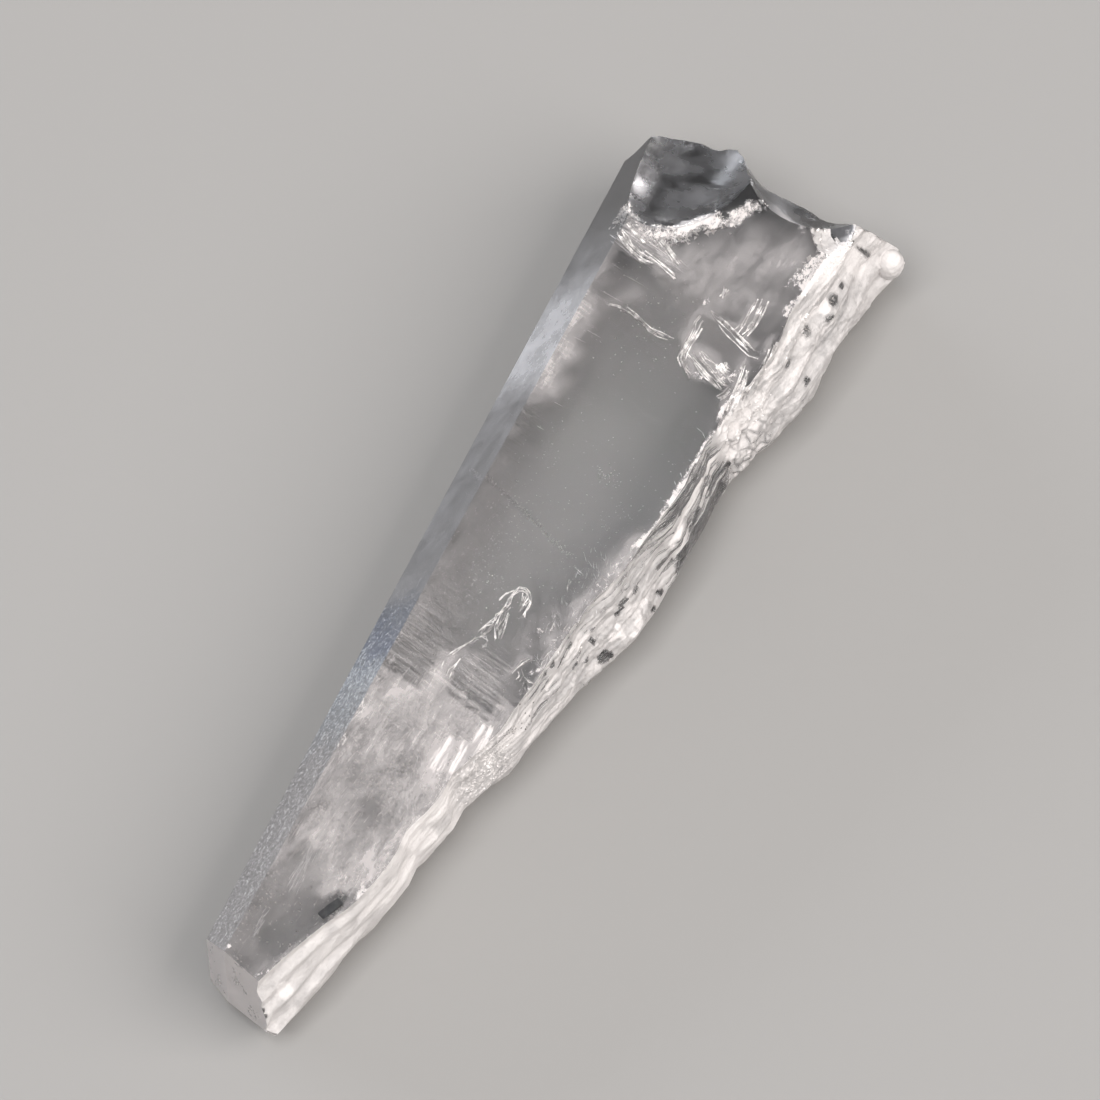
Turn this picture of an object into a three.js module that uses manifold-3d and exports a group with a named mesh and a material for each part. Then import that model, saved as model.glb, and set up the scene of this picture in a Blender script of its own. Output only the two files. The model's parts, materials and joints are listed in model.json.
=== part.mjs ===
// A loose nifontovite crystal: one clear, tapering, flattened prism that lies on its lower broad face.
//
// Units are millimetres and +Z is up. The crystal is laid out in its own coordinates first:
//   s  runs along the crystal, from the narrow wedge end (0) to the broad broken end (length)
//   t  runs across it, from the straight side (about 0) to the broken side
//   z  is the height above the face that it rests on
// The finished solid is then turned so that s is +X and t is -Y, with the origin under its middle.

import * as THREE from 'three';
import { LoftGeometry } from 'three/addons/geometries/LoftGeometry.js';
import { mergeVertices } from 'three/addons/utils/BufferGeometryUtils.js';
import Module from 'manifold-3d';

// Overall form
const length = 40.2;
const narrowHeight = 3.8;
const broadHeight = 5.9;

// The straight side: two prism faces that meet in a ridge, each set back by its slope from there on
const straightRidge = - 0.72;
const straightRidgeShare = 0.58;
const straightUpperSlope = 0.72;
const straightLowerSlope = 0.22;

// The broken side: the plan of its outermost ridge, as [s, t]
const brokenRidge = [
	[ 0, 2.95 ], [ 0.5, 3.12 ], [ 2.5, 3.66 ], [ 5, 4.2 ], [ 6.5, 4.66 ], [ 7.5, 4.88 ], [ 8.5, 4.87 ],
	[ 9.5, 5.24 ], [ 10.2, 5.42 ], [ 11.1, 5.44 ], [ 12.5, 6 ], [ 13.5, 6.41 ], [ 14.5, 6.57 ],
	[ 16, 6.96 ], [ 17.5, 7.31 ], [ 20, 8.15 ], [ 21.5, 8.4 ], [ 24, 8.54 ], [ 27, 8.57 ],
	[ 28.5, 9.03 ], [ 29.5, 9.22 ], [ 31.2, 9.8 ], [ 32.5, 9.91 ], [ 34, 9.93 ], [ 36, 10.17 ],
	[ 37.2, 10.24 ], [ 38.2, 10.5 ], [ 42, 10.8 ]
];

// How far the broken side leans out from the edge of the top face to that ridge, as [s, lean]
const brokenLean = [
	[ 0, 1.25 ], [ 2.4, 1.05 ], [ 3.8, 0.75 ], [ 5, 0.36 ], [ 6.4, 0.38 ], [ 7.7, 0.5 ], [ 12, 0.45 ], [ 15, 0.6 ], [ 17.3, 0.8 ], [ 19.5, 1.25 ],
	[ 22, 1.1 ], [ 25, 0.75 ], [ 28, 0.85 ], [ 33, 1.6 ], [ 35.5, 1.5 ], [ 42, 1.7 ]
];
const brokenRidgeShare = 0.4;
const brokenUndercut = 0.85;

// Splintery ledges that run along the broken side
const ledgeCount = 3.2;
const ledgeDrift = 0.09;
const ledgeWobble = 0.55;
const chipDepth = 0.13;

// The broad end is broken off: the plan of its far edge, which stands at farHeight, as [t, s]
const farEdge = [
	[ - 3, 37 ], [ - 0.6, 37.5 ], [ 0.1, 38.25 ], [ 1.7, 39.1 ], [ 2.9, 39.05 ], [ 4.7, 38.45 ], [ 6.3, 37.95 ],
	[ 7.3, 37.65 ], [ 7.8, 37.75 ], [ 8.2, 38 ], [ 9, 38.2 ], [ 10.6, 38.2 ], [ 13, 37.9 ]
];
const farHeight = 4;
const farLean = 0.26;
const shellDepth = 0.42;
const hackleDepth = 0.13;

// The block that the fracture takes away, with the steps across it and up it
const fractureBlock = { middle: [ 46, - 5, 3.5 ], size: [ 16, 16, 9 ], steps: [ 44, 22 ] };

// Mesh steps
const stations = 96;
const brokenUpperSteps = 8;
const brokenLowerSteps = 3;

// How far the prism runs past both ends before they are cut, and the box that cuts along a plane
const overrun = 1.5;
const cutterSize = 60;

const wasm = await Module();
wasm.setup();

// Straight-line interpolation through a list of [position, value]
function along( list, s ) {

	const last = list.length - 1;
	if ( s <= list[ 0 ][ 0 ] ) return list[ 0 ][ 1 ];
	if ( s >= list[ last ][ 0 ] ) return list[ last ][ 1 ];
	const i = list.findIndex( ( point ) => point[ 0 ] > s );
	const [ s0, v0 ] = list[ i - 1 ];
	const [ s1, v1 ] = list[ i ];
	return v0 + ( v1 - v0 ) * ( s - s0 ) / ( s1 - s0 );

}

// Repeatable noise on a square lattice, from -1 to 1
function hash( i, j ) {

	const wave = Math.sin( i * 127.1 + j * 311.7 ) * 43758.5453;
	return 2 * ( wave - Math.floor( wave ) ) - 1;

}

function noise( x, y ) {

	const i = Math.floor( x );
	const j = Math.floor( y );
	const u = THREE.MathUtils.smoothstep( x - i, 0, 1 );
	const v = THREE.MathUtils.smoothstep( y - j, 0, 1 );
	const near = THREE.MathUtils.lerp( hash( i, j ), hash( i + 1, j ), u );
	const far = THREE.MathUtils.lerp( hash( i, j + 1 ), hash( i + 1, j + 1 ), u );
	return THREE.MathUtils.lerp( near, far, v );

}

// A staircase: level treads with a quick rise at the end of each
function stair( x ) {

	const step = Math.floor( x );
	return step + THREE.MathUtils.smoothstep( x - step, 0.55, 0.95 );

}

function topHeight( s ) {

	return THREE.MathUtils.lerp( narrowHeight, broadHeight, s / length );

}

// The share of the lean that the broken side has reached at depth q, 0 at the top edge and 1 at the ridge
function ledges( s, q ) {

	const start = s * ledgeDrift + ledgeWobble * noise( s * 0.45, 3.7 );
	const whole = stair( start + ledgeCount ) - stair( start );
	return ( stair( start + q * ledgeCount ) - stair( start ) ) / whole;

}

// One ring of the crystal, counterclockwise as seen from the broad end
function section( s ) {

	const top = topHeight( s );
	const ridge = along( brokenRidge, s );
	const lean = along( brokenLean, s );
	const ridgeZ = top * ( brokenRidgeShare + 0.07 * noise( s * 0.35, 8.1 ) );
	const straightZ = top * straightRidgeShare;
	const points = [
		[ straightRidge + straightLowerSlope * straightZ, 0 ],
		[ straightRidge, straightZ ],
		[ straightRidge + straightUpperSlope * ( top - straightZ ), top ],
		[ ridge - lean, top ]
	];

	for ( let i = 1; i <= brokenUpperSteps; i ++ ) {

		const q = i / brokenUpperSteps;
		const chip = chipDepth * noise( s * 1.3, q * 4 ) * Math.sin( q * Math.PI );
		points.push( [ ridge - lean + lean * ledges( s, q ) + chip, top + ( ridgeZ - top ) * q ] );

	}

	for ( let i = 1; i <= brokenLowerSteps; i ++ ) {

		const q = i / brokenLowerSteps;
		const chip = chipDepth * noise( s * 0.9, 20 + q * 3 );
		points.push( [ ridge - brokenUndercut * q ** 1.3 + chip, ridgeZ * ( 1 - q ) ] );

	}

	return points.map( ( [ t, z ] ) => new THREE.Vector3( s, - t, z ) );

}

function toSolid( geometry ) {

	const bare = new THREE.BufferGeometry();
	bare.setAttribute( 'position', geometry.getAttribute( 'position' ) );
	bare.setIndex( geometry.getIndex() );
	const merged = mergeVertices( bare, 1e-4 );
	return new wasm.Manifold( new wasm.Mesh( {
		numProp: 3,
		vertProperties: merged.attributes.position.array,
		triVerts: new Uint32Array( merged.index.array )
	} ) );

}

function toGeometry( solid ) {

	const mesh = solid.getMesh();
	const geometry = new THREE.BufferGeometry();
	geometry.setAttribute( 'position', new THREE.BufferAttribute( mesh.vertProperties, 3 ) );
	geometry.setIndex( new THREE.BufferAttribute( mesh.triVerts, 1 ) );
	return geometry;

}

// The prism, before its ends are shaped
function prism() {

	const sections = [];

	for ( let i = 0; i <= stations; i ++ ) {

		sections.push( section( - overrun + ( length + 2 * overrun ) * i / stations ) );

	}

	return toSolid( new LoftGeometry( sections, { capStart: true, capEnd: true } ) );

}

// A tool that takes away all that lies beyond a plane, from a point on the plane and its outward normal
function planeTool( [ s, t, z ], [ ns, nt, nz ] ) {

	const up = new THREE.Vector3( 0, 0, 1 );
	const normal = new THREE.Vector3( ns, - nt, nz ).normalize();
	const geometry = new THREE.BoxGeometry( cutterSize, cutterSize, cutterSize );
	geometry.translate( 0, 0, cutterSize / 2 );
	geometry.applyQuaternion( new THREE.Quaternion().setFromUnitVectors( up, normal ) );
	geometry.translate( s, - t, z );
	return toSolid( geometry );

}

// An ellipsoid, from its centre and its three radii: taken away, it leaves a shell-shaped fracture
function ellipsoid( [ s, t, z ], [ rs, rt, rz ], turn = 0 ) {

	const geometry = new THREE.SphereGeometry( 1, 36, 24 );
	geometry.scale( rs, rt, rz );
	geometry.rotateZ( turn );
	geometry.translate( s, - t, z );
	return toSolid( geometry );

}

// What lies beyond the broken end: a box whose near side is the fracture, uneven and leaning out to the floor
function beyondFracture() {

	const { middle, size, steps } = fractureBlock;
	const geometry = new THREE.BoxGeometry( ...size, 1, ...steps );
	geometry.translate( ...middle );
	const position = geometry.getAttribute( 'position' );

	for ( let i = 0; i < position.count; i ++ ) {

		if ( position.getX( i ) > middle[ 0 ] ) continue;
		const t = - position.getY( i );
		const z = position.getZ( i );
		const shells = 1 - 2 * Math.abs( noise( t * 0.37 + 5.3, z * 0.42 + 1.7 ) );
		const hackle = noise( t * 1.7, z * 1.9 + 7.1 );
		const lean = farLean * ( farHeight - z );
		position.setX( i, along( farEdge, t ) + lean + shellDepth * shells + hackleDepth * hackle );

	}

	return toSolid( geometry );

}

// The narrow end is a wedge: an upper and a lower end face with a chamfer on each corner
const narrowEnd = [
	planeTool( [ 1.26, 1.14, 3.8 ], [ - 1, - 0.32, 0.25 ] ),
	planeTool( [ 0.62, 1.14, 1.4 ], [ - 1, - 0.22, - 0.62 ] ),
	planeTool( [ 1.5, 0.1, 2 ], [ - 0.76, - 0.65, 0.12 ] ),
	planeTool( [ 0.3, 2.9, 1.5 ], [ - 0.91, 0.42, 0.1 ] )
];

// Conchoidal hollows above the fracture: the broad window, its neighbour, and a chip at the corner of the top
const hollows = [
	ellipsoid( [ 38.4, 1.6, 7.4 ], [ 5, 3.4, 3.4 ] ),
	ellipsoid( [ 39.6, 6.6, 7.2 ], [ 3.3, 3.2, 3.6 ] ),
	ellipsoid( [ 37, 8.3, 7.7 ], [ 2.1, 1.5, 2.4 ], 0.5 )
];

// A small bead of unbroken crystal that stands out of the corner between the broken side and the broken end
const cornerBead = ellipsoid( [ 38.2, 10.15, 2.6 ], [ 0.55, 0.55, 0.75 ] );

function crystal() {

	let solid = prism();

	for ( const tool of [ ...narrowEnd, beyondFracture(), ...hollows ] ) {

		solid = solid.subtract( tool );

	}

	solid = solid.add( cornerBead );
	const geometry = toGeometry( solid );
	geometry.computeBoundingBox();
	const { min, max } = geometry.boundingBox;
	geometry.translate( - ( min.x + max.x ) / 2, - ( min.y + max.y ) / 2, - min.z );
	geometry.computeVertexNormals();
	const clear = new THREE.MeshStandardMaterial( {
		name: 'clear_crystal', color: 0xf1efee, roughness: 0.06, metalness: 0, transparent: true, opacity: 0.4
	} );
	const mesh = new THREE.Mesh( geometry, clear );
	mesh.name = 'nifontovite_crystal';
	return mesh;

}

const part = new THREE.Group();
part.name = 'nifontovite_specimen';
part.add( crystal() );

export default part;
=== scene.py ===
import bmesh
import bpy
import json
import math
import numpy as np
from functools import partial
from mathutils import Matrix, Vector, noise
from mathutils.bvhtree import BVHTree

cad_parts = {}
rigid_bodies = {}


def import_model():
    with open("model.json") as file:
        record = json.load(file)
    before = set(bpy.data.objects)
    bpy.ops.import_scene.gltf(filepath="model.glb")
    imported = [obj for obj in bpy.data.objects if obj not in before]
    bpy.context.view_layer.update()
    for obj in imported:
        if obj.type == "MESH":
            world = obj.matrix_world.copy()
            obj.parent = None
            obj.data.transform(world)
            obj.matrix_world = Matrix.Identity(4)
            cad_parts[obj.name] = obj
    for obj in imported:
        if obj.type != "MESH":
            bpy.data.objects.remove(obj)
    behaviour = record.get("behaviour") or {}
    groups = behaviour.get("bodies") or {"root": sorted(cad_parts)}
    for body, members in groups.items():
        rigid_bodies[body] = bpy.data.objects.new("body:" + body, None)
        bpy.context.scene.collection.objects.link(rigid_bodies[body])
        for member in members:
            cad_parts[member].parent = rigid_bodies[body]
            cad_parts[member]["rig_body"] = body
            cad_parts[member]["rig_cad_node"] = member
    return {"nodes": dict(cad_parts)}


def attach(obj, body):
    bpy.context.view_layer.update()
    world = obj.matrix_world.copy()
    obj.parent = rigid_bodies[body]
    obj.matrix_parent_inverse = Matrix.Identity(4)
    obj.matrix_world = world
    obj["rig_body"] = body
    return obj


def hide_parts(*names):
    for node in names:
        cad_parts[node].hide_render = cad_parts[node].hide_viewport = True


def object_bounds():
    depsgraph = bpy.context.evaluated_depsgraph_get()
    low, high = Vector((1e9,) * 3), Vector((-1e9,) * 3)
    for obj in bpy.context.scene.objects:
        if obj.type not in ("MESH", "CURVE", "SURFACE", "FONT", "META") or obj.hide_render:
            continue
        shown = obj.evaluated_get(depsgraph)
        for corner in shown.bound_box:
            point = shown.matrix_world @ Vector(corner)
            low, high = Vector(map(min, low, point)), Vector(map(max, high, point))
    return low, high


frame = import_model()
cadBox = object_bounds()
scene = bpy.context.scene

# Crystal coordinates are in millimetres: s along it from the narrow end, t across it from the straight side,
# z up. place() turns them into metres in the shared frame.
startX = -20.231
startY = 4.990


def place(s, t, z):
    return Vector(((s + startX) / 1000, (startY - t) / 1000, z / 1000))


def topHeight(s):
    return 3.8 + 0.05224 * s


def linear(hexColour, alpha=1.0):
    channels = [int(hexColour[i:i + 2], 16) / 255 for i in (1, 3, 5)]
    return tuple(c / 12.92 if c <= 0.04045 else ((c + 0.055) / 1.055) ** 2.4 for c in channels) + (alpha,)


def addNode(tree, kind, inputs=None, stops=None, **settings):
    # an input is a number, a colour, a socket, or a node, which stands for its first output
    node = tree.nodes.new("ShaderNode" + kind)
    for key, value in settings.items():
        setattr(node, key, value)
    for key, value in (inputs or {}).items():
        if isinstance(value, bpy.types.Node):
            value = value.outputs[0]
        if isinstance(value, bpy.types.NodeSocket):
            tree.links.new(value, node.inputs[key])
        else:
            node.inputs[key].default_value = value
    if stops:
        ramp = node.color_ramp
        while len(ramp.elements) < len(stops):
            ramp.elements.new(0.5)
        for element, (position, colour) in zip(ramp.elements, stops):
            element.position = position
            element.color = linear(colour) if isinstance(colour, str) else (colour, colour, colour, 1)
    return node


def newMaterial(name):
    # the material, and what adds nodes to it
    material = bpy.data.materials.new(name)
    material.use_nodes = True
    material.node_tree.nodes.clear()
    return material, partial(addNode, material.node_tree)


def alone(obj):
    if bpy.context.object and bpy.context.object.mode != "OBJECT":
        bpy.ops.object.mode_set(mode="OBJECT")
    bpy.ops.object.select_all(action="DESELECT")
    obj.select_set(True)
    bpy.context.view_layer.objects.active = obj


def applyModifier(obj, kind, **settings):
    alone(obj)
    modifier = obj.modifiers.new(kind.lower(), kind)
    for key, value in settings.items():
        setattr(modifier, key, value)
    bpy.ops.object.modifier_apply(modifier=modifier.name)


def finishPiece(obj, name, material):
    obj.name = name
    obj.data.name = name
    obj.data.materials.clear()
    obj.data.materials.append(material)
    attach(obj, "root")
    print("made", name, len(obj.data.polygons), "faces")
    return obj


# Camera, lights and floor

cameraPlan = {
    "target": (0.001269, 0.00117, 0.003),
    "azimuth": -64.4, "elevation": 63.0, "distance": 0.26033, "lens": 230,
}
studio = {
    "floorColours": ("#949290", "#969492"), "floorRadius": 1.8,
    "worldColour": "#EDEEF0", "worldStrength": 0.46,
    # name: place in metres, size in metres, watts, colour
    "lamps": {
        "keyPanel": ((0.10, -0.62, 0.52), (0.74, 0.62), 7.0, "#FFFBF8"),
        "topPanel": ((-0.30, 0.06, 0.75), (0.44, 0.44), 5.0, "#FFFFFF"),
        "edgePanel": ((0.16, 0.66, 0.20), (0.60, 0.18), 2.4, "#F2F6FF"),
    },
}


def buildStudio():
    azimuth, elevation = math.radians(cameraPlan["azimuth"]), math.radians(cameraPlan["elevation"])
    back = Vector((math.sin(azimuth) * math.cos(elevation), -math.cos(azimuth) * math.cos(elevation),
        math.sin(elevation)))
    bpy.ops.object.camera_add(location=Vector(cameraPlan["target"]) + back * cameraPlan["distance"])
    camera = bpy.context.object
    camera.rotation_euler = (-back).to_track_quat("-Z", "Y").to_euler()
    camera.data.lens = cameraPlan["lens"]
    camera.data.clip_start = 0.01
    camera.data.clip_end = 20
    scene.camera = camera

    for name, (spot, size, watts, colour) in studio["lamps"].items():
        bpy.ops.object.light_add(type="AREA", location=spot)
        lamp = bpy.context.object
        lamp.name = name
        lamp.rotation_euler = (-Vector(spot)).to_track_quat("-Z", "Y").to_euler()
        lamp.data.shape = "RECTANGLE"
        lamp.data.size, lamp.data.size_y = size
        lamp.data.energy = watts
        lamp.data.color = linear(colour)[:3]

    world = bpy.data.worlds.new("paleRoom")
    world.use_nodes = True
    world.node_tree.nodes["Background"].inputs["Color"].default_value = linear(studio["worldColour"])
    world.node_tree.nodes["Background"].inputs["Strength"].default_value = studio["worldStrength"]
    scene.world = world

    bpy.ops.mesh.primitive_circle_add(vertices=64, radius=studio["floorRadius"], fill_type="NGON",
        location=(0, 0, -0.00003))
    floor = bpy.context.object
    bpy.ops.object.transform_apply(location=True)
    floor.name = "paleFloor"
    # Matt card, uncoated: an even pale grey with the faint cloud of its pulp
    material, add = newMaterial("uncoatedPaleCard")
    spots = add("TexCoord")
    cloud = add("TexNoise", {"Vector": spots.outputs["Object"], "Scale": 9.0, "Detail": 3.0})
    darker, lighter = studio["floorColours"]
    tint = add("Mix", {0: cloud, 6: linear(darker), 7: linear(lighter)}, data_type="RGBA")
    card = add("BsdfPrincipled", {"Base Color": tint.outputs[2], "Roughness": 0.9,
        "Specular IOR Level": 0.2})
    add("OutputMaterial", {"Surface": card})
    floor.data.materials.append(material)

    scene.view_settings.view_transform = "Standard"
    scene.cycles.max_bounces = 12
    scene.cycles.transmission_bounces = 10
    scene.cycles.adaptive_threshold = 0.08
    scene.cycles.glossy_bounces = 6
    scene.cycles.diffuse_bounces = 3
    scene.cycles.caustics_reflective = False
    scene.cycles.caustics_refractive = True
    scene.cycles.blur_glossy = 0.05
    print("studio ready")


buildStudio()


# Materials of the crystal's own surfaces

def millimetres(add, stretch=(1, 1, 1), turn=0.0):
    # Object coordinates counted in millimetres, so that noise scales read as features to the millimetre
    spots = add("TexCoord")
    return add("Mapping", {
        "Vector": spots.outputs["Object"], "Rotation": (0, 0, turn),
        "Scale": tuple(0.001 / k for k in stretch)}, vector_type="TEXTURE").outputs["Vector"]


def brokenHaze(add, cover, noiseFac, hold=0.68, reach=0.46, soft=0.26):
    # white haze that takes the noise's peaks first and closes up as the cover rises
    level = add("Math", {0: cover, 1: reach, 2: noiseFac}, operation="MULTIPLY_ADD")
    haze = add("MapRange", {"Value": level, "From Min": hold, "From Max": hold + soft},
        interpolation_type="SMOOTHSTEP")
    gate = add("MapRange", {"Value": cover, "From Min": 0.0, "From Max": 0.12})
    return add("Math", {0: haze, 1: gate}, operation="MULTIPLY")


glassPlan = {"ior": 1.58, "insideColour": "#E4E3E3", "insideDensity": 56.0}


def crystalGlass(add, tint, rough, clear, relief):
    # see-through where there is no haze, with a slight grey absorption inside
    glass = add("BsdfPrincipled", {"Base Color": tint, "Roughness": rough, "IOR": glassPlan["ior"],
        "Transmission Weight": clear, "Normal": relief})
    inside = add("VolumeAbsorption", {"Color": linear(glassPlan["insideColour"]),
        "Density": glassPlan["insideDensity"]})
    add("OutputMaterial", {"Surface": glass, "Volume": inside})


def growthFace():
    # Nifontovite, natural growth face: glass-clear and smooth, with faint growth lines along it, a milky veil
    # under the skin of the narrow third, and powdery bruises where it was knocked
    material, add = newMaterial("nifontoviteGrowthFace")
    veil, frost, streak, comb = [add("Attribute", attribute_name=name).outputs["Fac"]
        for name in ("veil", "frost", "streak", "comb")]
    mottle = add("TexNoise", {"Vector": millimetres(add, (0.6, 1.0, 1.0), -0.3), "Scale": 1.3,
        "Detail": 6.0, "Roughness": 0.7, "Distortion": 0.3})
    fibres = add("TexNoise", {"Vector": millimetres(add, (0.4, 7.0, 7.0), -0.04), "Scale": 1.0,
        "Detail": 4.0, "Roughness": 0.72})
    patches = add("MapRange", {"Value": mottle, "From Min": 0.34, "From Max": 0.66, "To Min": 0.34,
        "To Max": 1.2})
    threads = add("MapRange", {"Value": fibres, "From Min": 0.34, "From Max": 0.66, "To Min": 0.78,
        "To Max": 1.2})
    haze = add("Math", {0: patches, 1: threads}, operation="MULTIPLY")
    haze = add("Mix", {0: streak, 2: haze, 3: 1.0}, data_type="FLOAT")
    haze = add("Math", {0: haze, 1: veil}, operation="MULTIPLY")
    # fine lines across the crystal, where the veil ends along its growth zones
    teeth = add("TexNoise", {"Vector": millimetres(add, (15.0, 0.3, 1.0), -0.226), "Scale": 1.0,
        "Detail": 5.0, "Roughness": 0.7})
    lines = add("MapRange", {"Value": teeth, "From Min": 0.46, "From Max": 0.70, "To Max": 0.9})
    lines = add("Math", {0: lines, 1: comb, 2: haze}, operation="MULTIPLY_ADD")
    # thickens ever more slowly
    slower = add("Math", {0: lines, 1: 0.6, 2: 1.0}, operation="MULTIPLY_ADD")
    haze = add("Math", {0: lines, 1: slower}, operation="DIVIDE")
    grains = add("TexNoise", {"Vector": millimetres(add, (1.0, 1.5, 1.5)), "Scale": 3.2, "Detail": 6.0,
        "Roughness": 0.78})
    split = add("Mix", {0: streak, 2: grains, 3: fibres}, data_type="FLOAT")
    bruise = brokenHaze(add, frost, split)
    bruise = add("Math", {0: bruise, 1: 0.72}, operation="MULTIPLY")
    both = add("Math", {0: haze, 1: bruise}, operation="MAXIMUM")
    clear = add("Math", {0: both, 1: -1.0, 2: 1.0}, operation="MULTIPLY_ADD", use_clamp=True)
    tint = add("ValToRGB", {"Fac": both}, stops=((0.0, "#F4F4F5"), (0.06, "#DEDADA"), (0.4, "#E6DFDD"),
        (0.64, "#F6EEEB")))
    rough = add("MapRange", {"Value": both, "From Max": 0.6, "To Min": 0.02, "To Max": 0.42})
    growth = add("TexNoise", {"Vector": millimetres(add, (0.12, 3.2, 3.2)), "Scale": 1.0, "Detail": 5.0,
        "Roughness": 0.6})
    low = add("Bump", {"Height": growth, "Strength": 0.14, "Distance": 0.00004})
    crust = add("Math", {0: both, 1: grains}, operation="MULTIPLY")
    relief = add("Bump", {"Height": crust, "Strength": 0.35, "Distance": 0.00008, "Normal": low})
    crystalGlass(add, tint, rough, clear, relief)
    return material


def etchedFace():
    # Nifontovite, growth face etched by later fluids: flaky and granular, bluish where the etch is finest
    material, add = newMaterial("nifontoviteEtchedFace")
    mm = millimetres(add)
    parts = add("SeparateXYZ", {"Vector": mm})
    flakes = add("TexNoise", {"Vector": millimetres(add, (0.8, 3.2, 2.4), -0.4), "Scale": 1.6,
        "Detail": 4.0, "Roughness": 0.7})
    grains = add("TexNoise", {"Vector": millimetres(add, (2.2, 2.6, 2.6)), "Scale": 3.0, "Detail": 6.0,
        "Roughness": 0.78})
    cloud = add("TexNoise", {"Vector": mm, "Scale": 0.75, "Detail": 6.0, "Roughness": 0.7})
    # place along the crystal, made ragged
    reach = add("Math", {0: cloud, 1: 5.0, 2: parts.outputs["X"]}, operation="MULTIPLY_ADD")
    etched = add("MapRange", {"Value": reach, "From Min": 2.5, "From Max": -4.5, "To Min": 0.04,
        "To Max": 0.5}, interpolation_type="SMOOTHSTEP")
    band = add("MapRange", {"Value": reach, "From Min": -8.0, "From Max": 1.0})
    finest = add("ValToRGB", {"Fac": band}, stops=((0.0, "#E6E2E2"), (0.22, "#D6DAE0"), (0.5, "#C4CCD8"),
        (0.62, "#A0ACC6"), (0.74, "#B6BFD0"), (0.9, "#E4E4E8")))
    cover = add("ValToRGB", {"Fac": band}, stops=((0.0, "#000000"), (0.2, "#4A4A4A"), (0.4, "#8A8A8A"),
        (0.6, "#626262"), (0.76, "#2C2C2C"), (0.95, "#000000")))
    cover = add("Math", {0: cover, 1: etched}, operation="ADD")
    frost = brokenHaze(add, cover, grains, 0.42, 0.30, 0.50)
    frost = add("Math", {0: frost, 1: 0.62}, operation="MULTIPLY")
    # a soft milky stretch nearer the wide end
    stretch = add("MapRange", {"Value": parts.outputs["X"], "From Min": 3.0, "From Max": 15.0})
    milk = add("ValToRGB", {"Fac": stretch}, stops=((0.0, 0.22), (0.2, 0.24), (0.36, 0.62), (0.58, 0.58),
        (0.76, 0.2), (1.0, 0.06)))
    milk = add("Math", {0: milk, 1: cloud}, operation="MULTIPLY")
    milk = add("Math", {0: milk, 1: 1.7}, operation="MULTIPLY")
    frost = add("Math", {0: frost, 1: milk}, operation="MAXIMUM")
    clear = add("Math", {0: frost, 1: -1.0, 2: 1.0}, operation="MULTIPLY_ADD", use_clamp=True)
    spark = add("MapRange", {"Value": grains, "From Min": 0.5, "From Max": 0.72})
    tint = add("Mix", {0: spark, 6: finest, 7: linear("#F2F0F0")}, data_type="RGBA")
    rough = add("MapRange", {"Value": frost, "To Min": 0.06, "To Max": 0.5})
    steps = add("Math", {0: flakes, 1: etched}, operation="MULTIPLY")
    low = add("Bump", {"Height": steps, "Strength": 0.18, "Distance": 0.0001})
    relief = add("Bump", {"Height": grains, "Strength": 0.16, "Distance": 0.00004, "Normal": low})
    crystalGlass(add, tint.outputs[2], rough, clear, relief)
    return material


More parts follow.
